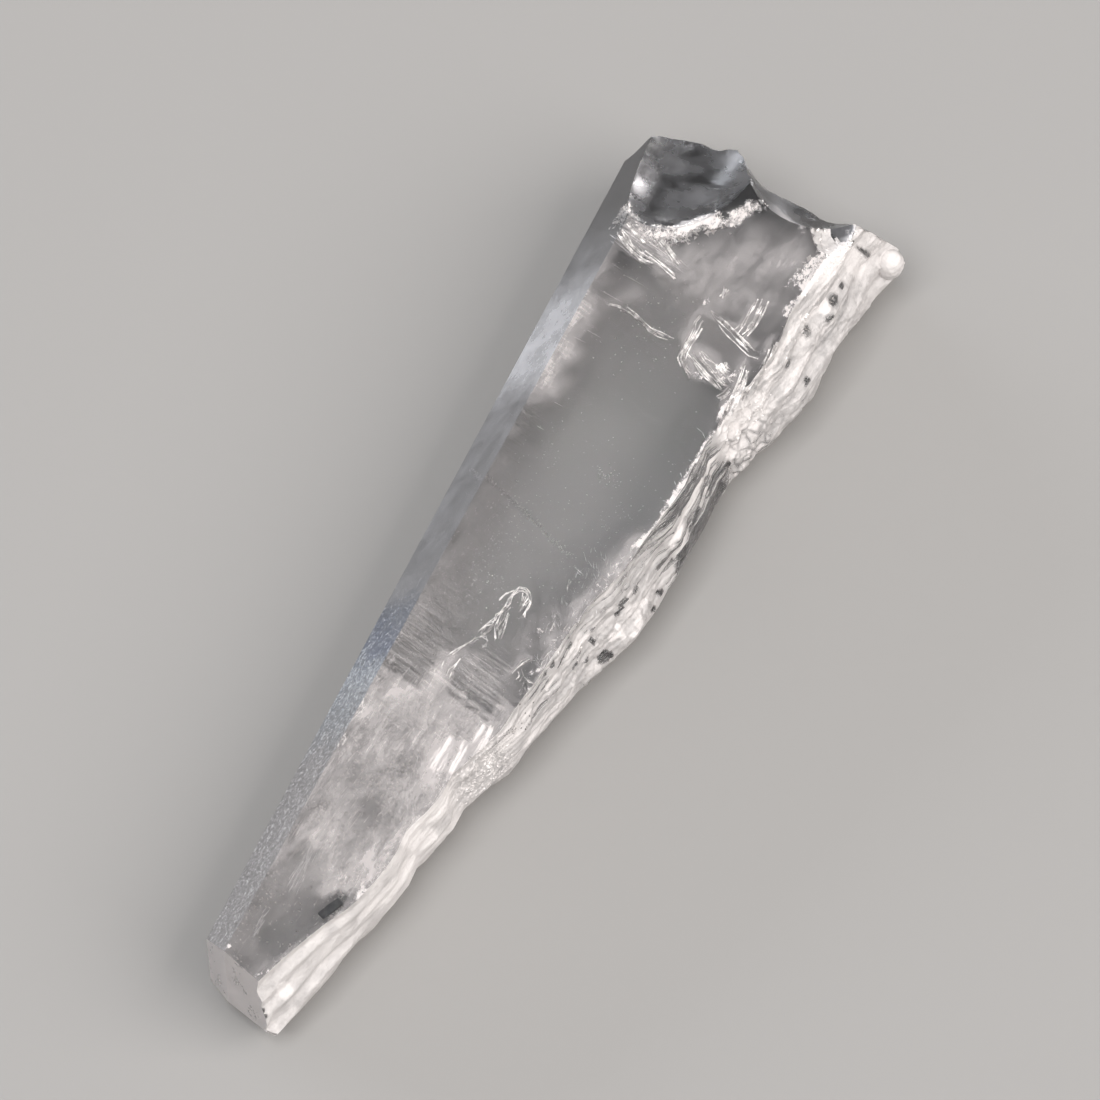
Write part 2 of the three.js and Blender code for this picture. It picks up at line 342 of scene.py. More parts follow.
def splinteredBreak():
    # Nifontovite, splintered break: frosted where it is crushed, with splinters along it, sugary grains and
    # rounded lumps
    material, add = newMaterial("nifontoviteSplinteredBreak")
    mm = millimetres(add)
    # on this face the veil's amount says how sugary it is, and the comb's how lumpy
    crushed, streak, sugary, lumpy = [add("Attribute", attribute_name=name).outputs["Fac"]
        for name in ("frost", "streak", "veil", "comb")]
    splinters = add("TexNoise", {"Vector": millimetres(add, (0.09, 0.35, 4.2), -0.14), "Scale": 1.0,
        "Detail": 5.0, "Roughness": 0.66})
    hairs = add("TexNoise", {"Vector": millimetres(add, (0.3, 0.9, 13.0), -0.14), "Scale": 1.0,
        "Detail": 4.0, "Roughness": 0.7})
    grains = add("TexNoise", {"Vector": millimetres(add, (0.8, 1.2, 1.2)), "Scale": 1.6, "Detail": 6.0,
        "Roughness": 0.72})
    sugar = add("TexVoronoi", {"Vector": mm, "Scale": 7.0}, feature="F1")
    # frost, broken up by lines along the crystal where it splintered and by grit where it was crushed
    wide = add("MapRange", {"Value": splinters, "From Min": 0.38, "From Max": 0.62, "To Min": -0.55,
        "To Max": 0.4})
    thin = add("MapRange", {"Value": hairs, "From Min": 0.36, "From Max": 0.64, "To Min": -0.22,
        "To Max": 0.24})
    lines = add("Math", {0: wide, 1: thin}, operation="ADD")
    lines = add("Math", {0: lines, 1: streak}, operation="MULTIPLY")
    grit = add("MapRange", {"Value": grains, "From Min": 0.34, "From Max": 0.66, "To Min": -0.16,
        "To Max": 0.14})
    # painted shade: the frost thins towards clear glass in the crevices between sugary grains and between
    # rounded lumps, so these read darker; the same crevices also sink in the bump
    bent = add("Mix", {0: 0.12, 4: mm, 5: grains.outputs["Color"]}, data_type="VECTOR")
    lumps = add("TexVoronoi", {"Vector": bent.outputs[1], "Scale": 2.4}, feature="DISTANCE_TO_EDGE")
    sugarGapShade = add("MapRange", {"Value": sugar, "From Min": 0.15, "From Max": 0.6, "To Min": 0.26,
        "To Max": -0.2})
    gapShadeAndDepth = add("MapRange", {"Value": lumps, "From Min": 0.0, "From Max": 0.2, "To Min": -0.45,
        "To Max": 0.2})
    sugarGapShade = add("Math", {0: sugarGapShade, 1: sugary}, operation="MULTIPLY")
    gapShadeAndDepth = add("Math", {0: gapShadeAndDepth, 1: lumpy, 2: sugarGapShade}, operation="MULTIPLY_ADD")
    frost = add("Math", {0: lines, 1: crushed}, operation="ADD")
    frost = add("Math", {0: frost, 1: grit}, operation="ADD")
    frost = add("Math", {0: frost, 1: gapShadeAndDepth}, operation="ADD", use_clamp=True)
    clear = add("MapRange", {"Value": frost, "To Min": 1.0, "To Max": 0.2})
    tint = add("Mix", {0: grains, 6: linear("#E2DDDB"), 7: linear("#F0EAE7")}, data_type="RGBA")
    rough = add("MapRange", {"Value": frost, "To Min": 0.02, "To Max": 0.7})
    height = add("Math", {0: lines, 1: 0.5, 2: grains}, operation="MULTIPLY_ADD")
    height = add("Math", {0: gapShadeAndDepth, 1: 0.9, 2: height}, operation="MULTIPLY_ADD")
    low = add("Bump", {"Height": height, "Strength": 0.6, "Distance": 0.00012})
    fine = add("Bump", {"Height": sugar, "Strength": 0.3, "Distance": 0.00004, "Normal": low})
    crystalGlass(add, tint.outputs[2], rough, clear, fine)
    return material


def conchoidalFace():
    # Nifontovite, shell-shaped fracture: glassy, with soft ripples, and a thin grey bloom in places
    material, add = newMaterial("nifontoviteConchoidalBreak")
    ripple = add("TexNoise", {"Vector": millimetres(add, (1.0, 0.6, 0.8)), "Scale": 0.7, "Detail": 3.0,
        "Distortion": 0.8})
    bloom = add("TexNoise", {"Vector": millimetres(add, (0.8, 0.5, 0.6)), "Scale": 1.0, "Detail": 5.0,
        "Roughness": 0.56})
    frost = add("Attribute", attribute_name="frost").outputs["Fac"]
    cover = add("MapRange", {"Value": bloom, "From Min": 0.34, "From Max": 0.8, "To Max": 0.17})
    bruise = brokenHaze(add, frost, bloom)
    bruise = add("Math", {0: bruise, 1: 0.66}, operation="MULTIPLY")
    cover = add("Math", {0: cover, 1: bruise}, operation="MAXIMUM")
    clear = add("Math", {0: cover, 1: -1.0, 2: 1.0}, operation="MULTIPLY_ADD", use_clamp=True)
    rough = add("MapRange", {"Value": cover, "To Min": 0.26, "To Max": 0.55})
    tint = add("Mix", {0: bruise, 6: linear("#EFEEF2"), 7: linear("#F0E9E6")}, data_type="RGBA")
    relief = add("Bump", {"Height": ripple, "Strength": 0.35, "Distance": 0.0003})
    crystalGlass(add, tint.outputs[2], rough, clear, relief)
    return material


# The crystal itself: a copy of the CAD crystal whose broken faces get their splinters

shellPlan = {
    "topNormal": Vector((-0.05217, 0, 0.99864)),
    # limits that sort the faces, in mm of the shared frame: x or y, and the last two as (x, y)
    "straightSide": 3.2, "wideEnd": 11.5, "hollowSide": -2.2, "lastRidge": 17.4,
    "cornerLedge": (16.6, -2.9), "knob": (17.3, -4.75),
    "cuts": 4,       # how finely the broken side is divided
    "cell": 0.32,    # mm between the cuts across the top face, halved once more
    "cutsAlong": (-19.6, 17.0), "cutsAcross": (-5.2, 5.6),
    # top edge of the broken side, as (s, t)
    "breakEdge": ((0, 1.7), (2.5, 2.6), (3.8, 3.2), (5, 3.85), (6.4, 4.25), (7.7, 4.4), (10, 4.9),
        (12.5, 5.55), (15, 6.05), (17.3, 6.45), (19.5, 6.7), (22, 7.35), (25, 7.75), (28, 8.0), (30, 8.2),
        (33, 8.3), (36, 8.65), (38, 8.9)),
    # how rough the broken side is, how crushed, and how much it breaks into streaks, as (s, share)
    "rough": ((0, 0.0), (6, 0.05), (8.5, 0.2), (10, 0.3), (14, 0.7), (17, 1.0), (24, 0.8), (27, 0.9),
        (36, 0.8), (38.5, 0.3), (41, 0.1)),
    "crushed": ((0, 0.72), (3, 0.78), (8, 0.84), (10.5, 0.8), (11.4, 0.84), (13.2, 0.76), (15, 0.6),
        (17, 0.64), (20, 0.66), (22.5, 0.5), (24.5, 0.26), (27, 0.3), (28, 0.8), (31, 0.66), (35, 0.72),
        (38.5, 0.85)),
    "splintered": ((0, 0.0), (9, 0.04), (12, 0.12), (14, 0.5), (16, 0.7), (19, 0.5), (22, 0.7), (27, 1.0),
        (28, 0.2), (33, 0.35), (38, 0.1)),
    # sugary and lumpy stretches of the broken side, as (s, share)
    "sugary": ((10.6, 0.0), (11.4, 0.9), (13.2, 0.9), (13.5, 0.0)),
    "lumpy": ((0, 0.0), (15, 0.0), (17, 0.2), (21, 0.2), (22, 0.0), (27.6, 0.0), (28.0, 0.85), (29.4, 0.8),
        (30.4, 0.2), (38, 0.12)),
    "lumps": ((28.6, 8.6), 1.1),    # middle and radius of the one crushed place with rounded lumps
    # broad ledges, sharp-edged steps, chips, then hackle, and the rounded lumps: where, texture, size in mm,
    # how far it is drawn out along each axis, depth in mm, settings of the texture
    "relief": (
        ("broken", "CLOUDS", 1.2, (6.0, 3.0, 0.7), 0.18, {"noise_depth": 2}),
        ("broken", "WOOD", 0.42, (30.0, 3.0, 1.0), 0.12,
            {"wood_type": "BANDNOISE", "noise_basis_2": "SAW", "turbulence": 1.2}),
        ("broken", "VORONOI", 0.8, (4.0, 3.0, 0.6), 0.14, {}),
        ("broken", "CLOUDS", 0.22, (2.5, 3.0, 0.9), 0.05, {"noise_depth": 2}),
        ("lumps", "VORONOI", 0.5, (1.1, 0.8, 0.9), 0.36, {}),
    ),
}

# Where the surface is milky or bruised: paths of (s, t), radius in mm, amount; amounts below 0 take haze away
veilPlan = {
    "density": 0.45,
    # where the veil stops, as (t, s): it ends in steps along the growth lines
    "end": ((-1.0, 14.1), (0.74, 14.0), (2.32, 13.82), (2.34, 14.55), (2.5, 15.3), (3.05, 15.55),
        (3.17, 14.6), (3.22, 14.26), (4.0, 14.25), (4.01, 14.0), (5.07, 13.95), (5.1, 14.65), (5.6, 14.8),
        (7.0, 14.6)),
    "strokes": (
        (((1.4, 1.0), (2.6, 1.3), (4.3, 1.7)), 1.25, -0.30), (((2.9, 2.4), (4.1, 2.8)), 0.5, -0.3),
        (((4.4, 0.6), (5.8, 1.5)), 0.55, -0.22), (((8.4, 2.5), (8.6, 3.8)), 0.65, -0.24),
        (((9.1, 1.4), (9.8, 1.7)), 0.5, -0.12), (((14.4, 5.6), (14.2, 6.2)), 0.6, -0.14),
        (((3.3, 0.1), (4.6, 0.4)), 0.4, -0.2), (((10.4, 3.2), (11.2, 3.2)), 0.45, -0.14),
        (((7.2, 0.6), (9.5, 0.9)), 0.5, -0.1), (((5.7, 2.9), (6.5, 3.7)), 0.7, 0.12),
        (((10.6, 4.4), (12.6, 4.5)), 0.8, 0.10), (((12.0, 0.9), (13.4, 1.5)), 0.7, 0.08),
        (((6.6, 1.4), (7.8, 1.9)), 0.5, 0.07), (((10.0, 4.0), (9.0, 4.3)), 0.6, 0.08),
    ),
}
# soft haze outside the veil
hazePlan = (
    (((27.2, 0.1), (30.0, -0.1)), 1.2, 0.85), (((30.4, -0.1), (33.4, 0.0)), 1.0, 0.5),
    (((24.8, 0.0), (27.0, 0.0)), 0.8, 0.14), (((28.6, 1.1), (31.0, 1.4)), 0.9, 0.12),
    (((33.4, 4.4), (34.6, 5.4), (34.9, 7.2)), 1.1, 0.36), (((33.0, 5.4), (33.3, 7.2)), 0.9, 0.28),
    (((33.2, 3.2), (33.7, 1.7), (34.0, 0.3)), 0.55, 0.34), (((31.5, 2.5), (30.6, 1.8)), 0.35, 0.2),
    (((15.6, 0.9), (18.4, 0.4)), 1.1, 0.16), (((19.0, 0.9), (22.5, 0.5)), 1.1, 0.10),
    (((15.2, 3.7), (15.0, 5.0)), 0.6, 0.16), (((14.7, 0.6), (14.6, 2.0)), 0.6, 0.12),
    (((16.9, 5.0), (18.4, 5.7)), 0.5, 0.14), (((31.4, 5.6), (30.8, 7.4)), 0.9, 0.10),
    (((17.1, 6.2), (19.6, 6.7), (22.2, 7.3)), 0.5, 0.4),
    (((32.2, 5.22), (30.7, 5.12), (29.4, 5.9)), 0.22, 0.34), (((30.4, 5.6), (29.7, 7.2)), 0.26, 0.42),
    (((32.1, 5.3), (31.4, 7.6)), 0.16, 0.3), (((33.6, 6.86), (31.8, 6.7)), 0.22, 0.36),
    (((30.9, 7.5), (28.6, 7.7)), 0.24, 0.4), (((32.0, 8.0), (30.8, 8.1)), 0.2, 0.34),
    (((5.8, 3.8), (8.5, 4.4), (10.5, 4.9)), 0.5, 0.6), (((6.0, 3.0), (6.8, 3.7)), 0.5, 0.5),
    (((14.0, 2.5), (15.3, 2.5)), 0.14, 0.3), (((14.0, 2.95), (15.7, 3.05)), 0.12, 0.3),
    (((15.7, 5.0), (16.5, 5.3), (16.6, 5.5)), 0.12, 0.3), (((16.9, 6.1), (15.2, 6.3)), 0.2, 0.4),
)
# fine lines across the crystal
combPlan = (
    (((14.3, 0.9), (14.2, 2.1)), 0.6, 0.34), (((15.1, 1.0), (15.3, 2.0)), 0.7, 0.36),
    (((16.0, 0.8), (17.4, 1.4)), 0.9, 0.26), (((14.4, 3.4), (14.2, 5.0)), 0.6, 0.36),
    (((15.1, 3.5), (15.0, 4.9)), 0.6, 0.36), (((15.9, 3.9), (15.8, 4.7)), 0.5, 0.24),
    (((12.6, 0.9), (12.4, 4.8)), 0.9, 0.12), (((27.8, 0.0), (31.5, 0.0)), 1.3, 0.4),
    (((24.2, 0.3), (27.0, 0.4)), 0.9, 0.24), (((18.0, 0.8), (23.0, 0.8)), 0.9, 0.12),
    (((33.2, 3.2), (33.7, 1.7), (34.0, 0.3)), 0.5, 0.42),
)
# places kept clear, so that what lies under them shows
windowPlan = (
    (((4.2, 2.97), (5.02, 3.32)), 0.36, 1.0), (((2.6, 1.9), (3.5, 2.35), (4.2, 2.6)), 0.62, 0.75),
)
frostPlan = (
    # the rim of the window, and the smears beside it
    (((33.95, 2.0), (34.3, 2.69), (34.7, 2.95)), 0.30, 0.72),
    (((34.7, 2.95), (35.0, 3.14), (35.5, 3.55)), 0.44, 0.95), (((35.45, 3.5), (35.5, 4.0)), 0.36, 0.8),
    (((35.7, 4.55), (36.2, 4.85), (36.6, 5.05)), 0.34, 0.75),
    (((36.5, 5.0), (37.1, 5.7), (36.9, 6.6), (36.6, 7.4)), 0.42, 0.45),
    (((34.2, 0.1), (34.3, 0.8)), 0.40, 0.62), (((34.3, 0.8), (33.95, 2.0)), 0.24, 0.56),
    (((33.2, -0.4), (33.9, 0.0)), 0.5, 0.45),
    # the corner
    (((34.75, 8.3), (35.6, 8.7), (36.2, 8.85)), 0.70, 0.76),
    (((36.2, 8.8), (36.8, 9.4), (37.0, 10.2)), 0.8, 0.8), (((34.2, 7.9), (35.0, 8.0)), 0.34, 0.6),
    (((34.4, 8.6), (33.2, 8.2)), 0.3, 0.7),
    # the angular fracture's own bruises
    (((32.5, 5.0), (32.1, 5.2)), 0.28, 0.5), (((29.4, 6.0), (29.3, 6.9)), 0.22, 0.5),
    (((29.6, 7.1), (30.3, 7.5)), 0.22, 0.6), (((30.2, 8.2), (31.4, 8.1)), 0.18, 0.5),
    (((28.2, 7.8), (29.8, 7.9)), 0.26, 0.85), (((31.6, 6.95), (33.1, 7.08)), 0.16, 0.5),
    # along the broken edge
    (((15.3, 6.0), (17.1, 6.3), (18.2, 6.5), (19.6, 6.7)), 0.46, 0.46),
    (((19.6, 6.6), (21.0, 7.0), (22.2, 7.3)), 0.44, 0.5),
    (((22.3, 7.4), (23.1, 7.7), (24.5, 7.8)), 0.36, 0.8), (((24.5, 7.75), (27.4, 7.9)), 0.30, 0.8),
    (((16.9, 5.0), (18.4, 5.7)), 0.4, 0.42),
    # flakes of the etched edge that reach onto the top
    (((18.3, -0.3), (17.4, 0.1)), 0.16, 0.55), (((16.6, 0.1), (15.2, 0.6)), 0.22, 0.66),
    (((14.6, 0.3), (14.3, 0.9)), 0.30, 0.46), (((13.4, 0.3), (13.1, 0.8)), 0.30, 0.5),
    (((12.3, 0.3), (12.0, 0.8)), 0.34, 0.64), (((11.3, 0.1), (10.6, 0.6)), 0.30, 0.6),
    (((9.4, 0.1), (8.6, 0.4)), 0.26, 0.5), (((6.5, 0.0), (5.6, 0.3)), 0.24, 0.5),
    (((4.0, -0.2), (3.0, 0.1)), 0.2, 0.45),
    # clouded white piece and crust next to the broken edge of the narrow half
    (((8.5, 4.4), (9.4, 4.5), (10.2, 4.9)), 0.6, 0.46), (((6.6, 4.1), (7.2, 4.1), (7.8, 4.3)), 0.5, 0.42),
    (((5.75, 3.0), (5.7, 3.4)), 0.26, 0.55), (((6.2, 3.2), (6.6, 3.8)), 0.5, 0.4),
    (((5.5, 3.9), (6.2, 4.0)), 0.22, 0.7), (((1.4, -0.1), (1.7, 0.5)), 0.14, 0.9),
    (((0.9, 1.8), (2.3, 2.6)), 0.16, 0.55), (((2.3, 2.66), (3.7, 3.2)), 0.14, 0.55),
)
streakPlan = (
    (((11.1, 4.28), (12.2, 4.22)), 0.30, 0.74), (((11.1, 4.93), (12.3, 4.76)), 0.30, 0.76),
    (((10.9, 5.5), (13.1, 5.3)), 0.42, 0.76), (((10.6, 4.0), (11.8, 3.75)), 0.24, 0.52),
)
# on the broken side the paths are (s, t, z)
sidePlan = (
    (((28.3, 8.2, 4.6), (29.5, 8.6, 4.0)), 0.75, 0.5), (((27.5, 8.3, 3.7), (28.6, 8.9, 2.5)), 0.26, 0.3),
    (((26.4, 8.36, 2.84), (27.5, 8.46, 2.83)), 0.24, -1.2),
    (((26.9, 8.06, 4.06), (25.4, 8.09, 4.02), (24.2, 8.08, 3.85), (23.4, 8.12, 3.49)), 0.15, 0.85),
    (((27.0, 8.20, 3.57), (25.5, 8.29, 3.10), (24.1, 8.35, 3.04), (23.4, 8.31, 2.73)), 0.09, 0.8),
    (((26.6, 8.15, 3.8), (25.4, 8.2, 3.5), (24.4, 8.2, 3.4)), 0.07, -0.8),
    (((25.4, 8.27, 3.13), (24.6, 8.36, 2.89)), 0.12, -1.0),
    (((26.9, 8.53, 2.03), (25.6, 8.49, 2.18), (24.6, 8.51, 2.17), (23.3, 8.51, 2.31)), 0.26, -0.6),
    (((26.9, 8.6, 1.8), (25.6, 8.55, 1.9), (24.6, 8.55, 1.9), (23.3, 8.55, 2.0)), 0.06, 0.9),
    (((22.7, 8.24, 2.54), (21.7, 7.99, 2.88), (20.6, 7.82, 3.09)), 0.5, 0.18),
    (((21.26, 7.63, 3.40), (21.1, 7.62, 3.4)), 0.14, -1.1),
    (((20.51, 7.53, 3.53), (20.4, 7.5, 3.5)), 0.15, -1.1),
    (((22.03, 8.26, 2.23), (22.1, 8.3, 2.2)), 0.10, -1.1),
    (((20.26, 7.54, 3.28), (20.1, 7.5, 3.3)), 0.12, -1.1),
    (((21.33, 8.31, 2.02), (21.4, 8.3, 2.0)), 0.10, -1.0),
    (((18.88, 7.63, 2.15), (18.6, 7.6, 2.2)), 0.18, -1.2),
    (((21.2, 8.0, 2.61), (21.3, 8.0, 2.6)), 0.16, 0.6), (((20.5, 8.1, 2.35), (20.6, 8.1, 2.4)), 0.18, 0.6),
    (((19.4, 7.6, 2.6), (19.6, 7.7, 2.6)), 0.14, 0.6), (((20.0, 8.1, 2.2), (20.1, 8.1, 2.2)), 0.12, 0.5),
    (((18.73, 7.07, 3.24), (18.69, 7.20, 3.11)), 0.10, -1.2),
    (((18.76, 7.5, 2.3), (18.7, 7.5, 2.2)), 0.16, -1.2), (((18.1, 7.2, 2.8), (18.0, 7.2, 2.8)), 0.08, -1.2),
    (((17.58, 6.98, 3.11), (17.5, 6.98, 3.1)), 0.10, -1.2),
    (((18.0, 6.93, 3.35), (17.9, 6.9, 3.3)), 0.07, -1.2),
    (((20.33, 7.47, 3.48), (20.3, 7.4, 3.5)), 0.13, -1.1),
    (((19.8, 7.7, 2.9), (19.7, 7.9, 2.3)), 0.10, 0.5), (((19.3, 7.6, 2.8), (19.4, 7.6, 2.8)), 0.09, 0.5),
    (((15.8, 6.42, 3.81), (17.5, 6.63, 4.20), (19.0, 7.01, 3.66)), 0.05, -0.9),
    (((15.3, 6.24, 4.12), (16.8, 6.48, 4.41)), 0.05, -0.8),
    (((14.4, 6.5, 2.4), (16.6, 7.1, 2.2)), 0.4, 0.2),
    (((16.0, 6.5, 3.6), (17.6, 6.7, 3.9), (19.0, 7.1, 3.5)), 0.05, 0.7),
    (((13.6, 6.1, 3.5), (14.6, 6.3, 3.8)), 0.5, 0.2), (((0.54, 2.42, 2.5), (0.5, 2.45, 2.45)), 0.07, -1.2),
    (((0.44, 2.57, 2.28), (0.4, 2.5, 2.2)), 0.09, -1.2), (((1.5, 2.93, 2.53), (1.5, 2.75, 2.9)), 0.22, 0.5),
    (((7.9, 4.73, 2.57), (6.2, 4.44, 2.99), (5.35, 4.22, 2.89)), 0.40, 0.4),
    (((10.3, 5.03, 3.72), (9.3, 4.62, 4.29), (8.5, 4.48, 4.12)), 0.5, 0.4),
    (((9.1, 4.9, 2.8), (8.5, 4.8, 3.4)), 0.4, 0.3), (((35.0, 9.32, 4.23), (35.1, 9.3, 4.2)), 0.22, -0.7),
    (((34.3, 9.5, 4.02), (34.4, 9.5, 4.0)), 0.17, -0.65),
    (((33.4, 9.0, 4.27), (33.3, 9.0, 4.2)), 0.20, -0.6),
    (((31.8, 8.92, 4.24), (31.9, 8.9, 4.2)), 0.18, -0.6),
    (((35.7, 9.32, 4.2), (35.8, 9.3, 4.2)), 0.12, -0.7), (((32.1, 9.6, 2.9), (32.2, 9.6, 2.9)), 0.13, -0.7),
    (((37.0, 9.06, 5.32), (37.6, 9.57, 3.72)), 0.10, -0.8),
    (((38.1, 10.28, 3.3), (37.8, 10.2, 3.4)), 0.35, 0.4),
    (((34.5, 9.25, 4.3), (34.6, 9.2, 4.4)), 0.22, 0.4), (((32.6, 9.33, 3.7), (31.3, 9.2, 3.6)), 0.35, 0.3),
    (((34.4, 8.2, 5.6), (35.3, 8.74, 5.45), (36.5, 8.94, 5.43), (37.1, 9.46, 3.64)), 0.4, 0.4),
    (((34.4, 9.0, 4.4), (32.8, 8.65, 4.9), (31.6, 8.54, 4.96), (30.8, 8.57, 4.64)), 0.14, 0.5),
)


# how loosely each is painted: mm that its edges wander in slow and in quick waves, and how softly they end
loosePlan = {
    "frost": (0.14, 0.08, 0.8), "side": (0.05, 0.05, 0.8), "veil": (0.4, 0.16, 1.7), "haze": (0.3, 0.0, 1.9),
    "comb": (0.25, 0.0, 1.7), "window": (0.08, 0.0, 0.4),
}
wanderSeed = 1795483919     # of the waves; without it they would follow the clock
# amounts on the faces of the narrow end
tipPlan = {"veil": 0.62, "streak": 0.6}
# the lines of the broken side keep to its upper half: from which height in mm, how it rises along s, over how
# many mm they fade in, and up to which s this holds
upperPlan = {"height": 1.9, "rise": 0.052, "fade": 0.8, "until": 22.4}


def shareAlong(pairs, value):
    return np.interp(value, [p[0] for p in pairs], [p[1] for p in pairs])


def brush(spots, strokes, soft):
    # how strongly each place is covered: the strongest stroke that adds, and the strongest that takes away
    gain, loss = np.zeros(len(spots)), np.zeros(len(spots))
    for path, radius, amount in strokes:
        path = np.array(path, float)
        near = np.full(len(spots), 1e9)
        for start, end in zip(path[:-1], path[1:]):
            run = end - start
            along = np.clip(((spots - start) @ run) / (run @ run), 0, 1)
            near = np.minimum(near, np.linalg.norm(spots - start - along[:, None] * run, axis=1))
        cover = np.clip((1 + soft / 2 - near / radius) / soft, 0, 1)
        cover = cover * cover * (3 - 2 * cover) * amount
        gain, loss = np.maximum(gain, cover), np.minimum(loss, cover)
    return gain, loss


def liesOnTop(face):
    return (face.normal - shellPlan["topNormal"]).length < 0.03


def sortFace(face):
    # 0 growth face, 1 etched face, 2 splintered break, 3 conchoidal break
    n, c = face.normal, face.center * 1000
    knobX, knobY = shellPlan["knob"]
    ledgeX, ledgeY = shellPlan["cornerLedge"]
    wide = c.x > shellPlan["wideEnd"]
    if c.x > knobX and c.y < knobY:
        return 2
    if liesOnTop(face) or n.z < -0.99:
        return 0
    if n.y > 0.45 and abs(n.x) < 0.12 and c.y > shellPlan["straightSide"]:
        return 1 if n.z > 0 else 0
    endFace = (wide and c.y > shellPlan["hollowSide"]) or (c.x > shellPlan["lastRidge"] and n.x > 0.5)
    if n.y < -0.25 and n.x > -0.6 and not endFace:
        return 2
    if wide:
        return 2 if c.y < ledgeY and c.x < ledgeX and n.z > 0.35 else 3
    return 0 if n.x < -0.3 else 2


def selectKinds(obj, kinds):
    bpy.ops.object.mode_set(mode="EDIT")
    bpy.ops.mesh.select_mode(type="FACE")
    bpy.ops.mesh.select_all(action="DESELECT")
    bpy.ops.object.mode_set(mode="OBJECT")
    for face in obj.data.polygons:
        face.select = kinds(face)
    bpy.ops.object.mode_set(mode="EDIT")


def displaceBreak(shell, group, kind, size, stretch, depth, settings):
    # pushes the broken side inwards only, along Y, by a texture drawn out along the crystal
    texture = bpy.data.textures.new("breakTexture", kind)
    for key, value in settings.items():
        setattr(texture, key, value)
    texture.noise_scale = 1.0
    bpy.ops.object.select_all(action="DESELECT")
    bpy.ops.object.empty_add()
    guide = bpy.context.object
    guide.scale = tuple(size * k / 1000 for k in stretch)
    bpy.context.view_layer.update()
    applyModifier(shell, "DISPLACE", texture=texture, texture_coords="OBJECT", texture_coords_object=guide,
        direction="Y", mid_level=0.0, strength=depth / 1000, vertex_group=group)
    bpy.data.objects.remove(guide)
    bpy.data.textures.remove(texture)


def paintShell(shell):
    # four amounts at every corner of every face: comb, frost, veil and streak
    mesh = shell.data
    corners = np.array([c.vertex_index for c in mesh.loops])
    solid = np.array([v.co for v in mesh.vertices]) * 1000
    solid = np.stack([solid[:, 0] - startX, startY - solid[:, 1], solid[:, 2]], 1)
    noise.seed_set(wanderSeed)
    slow = np.array([noise.noise_vector(Vector(p) * 1.3) for p in solid])
    quick = np.array([noise.noise_vector(Vector(p) * 4.0) for p in solid])
    flat = solid[:, :2]

    def loosely(layer, spots, strokes):
        slowReach, quickReach, soft = loosePlan[layer]
        width = spots.shape[1]
        return brush(spots + slow[:, :width] * slowReach + quick[:, :width] * quickReach, strokes, soft)

    frostGain, streakGain = loosely("frost", flat, frostPlan)[0], loosely("frost", flat, streakPlan)[0]
    sideGain, sideLoss = loosely("side", solid, sidePlan)
    veilGain, veilLoss = loosely("veil", flat, veilPlan["strokes"])
    end = shareAlong(veilPlan["end"], flat[:, 1])
    teeth = np.array([noise.noise(Vector(((s + 0.23 * t) * 6.0, t * 0.2, 1.0))) for s, t in flat]) * 0.5
    veil = np.clip((end + teeth - flat[:, 0]) / 0.3, 0, 1)
    veil = veil * np.clip(veilPlan["density"] + veilGain + veilLoss, 0, 1)
    veil = np.maximum(veil, loosely("haze", flat, hazePlan)[0])
    crushed = shareAlong(shellPlan["crushed"], flat[:, 0]) + sideGain + sideLoss
    splintered = shareAlong(shellPlan["splintered"], flat[:, 0])
    above = solid[:, 2] + slow[:, 2] * 0.5 - upperPlan["height"] - upperPlan["rise"] * flat[:, 0]
    upper = np.clip(above / upperPlan["fade"], 0.2, 1)
    splintered = splintered * np.where(flat[:, 0] < upperPlan["until"], upper, 1)
    isTop, isTip = np.zeros(len(corners), bool), np.zeros(len(corners), bool)
    kind = np.zeros(len(corners), int)
    for face in mesh.polygons:
        loops = slice(face.loop_start, face.loop_start + face.loop_total)
        isTop[loops] = liesOnTop(face)
        isTip[loops] = face.material_index == 0 and face.normal.x < -0.3 and face.center.x < -0.015
        kind[loops] = face.material_index
    sugary, lumpy = shareAlong(shellPlan["sugary"], flat[:, 0]), shareAlong(shellPlan["lumpy"], flat[:, 0])
    comb = loosely("comb", flat, combPlan)[0]
    unhidden = 1 - loosely("window", flat, windowPlan)[0]
    frostGain, streakGain, veil = frostGain * unhidden, streakGain * unhidden, veil * unhidden
    isSplintered, isConchoidal = kind == 2, kind == 3
    # each: on the top, on the splintered break, on the faces of the narrow end
    values = {
        "comb": (comb, lumpy, 0.0),
        "frost": (np.maximum(frostGain, streakGain), crushed, 0.0),
        "veil": (veil, sugary, tipPlan["veil"]),
        "streak": (np.clip(streakGain * 1.4, 0, 1), splintered, tipPlan["streak"]),
    }
    for name, (onTop, onBreak, onTip) in values.items():
        amounts = np.where(isSplintered, onBreak[corners], np.where(isTip, onTip, 0))
        amounts = np.where(isTop, onTop[corners], amounts)
        if name == "frost":
            amounts = np.where(isConchoidal & ~isTop, frostGain[corners], amounts)
        layer = mesh.attributes.new(name, "FLOAT", "CORNER")
        layer.data.foreach_set("value", np.clip(amounts, 0, 1.2).astype(np.float32))


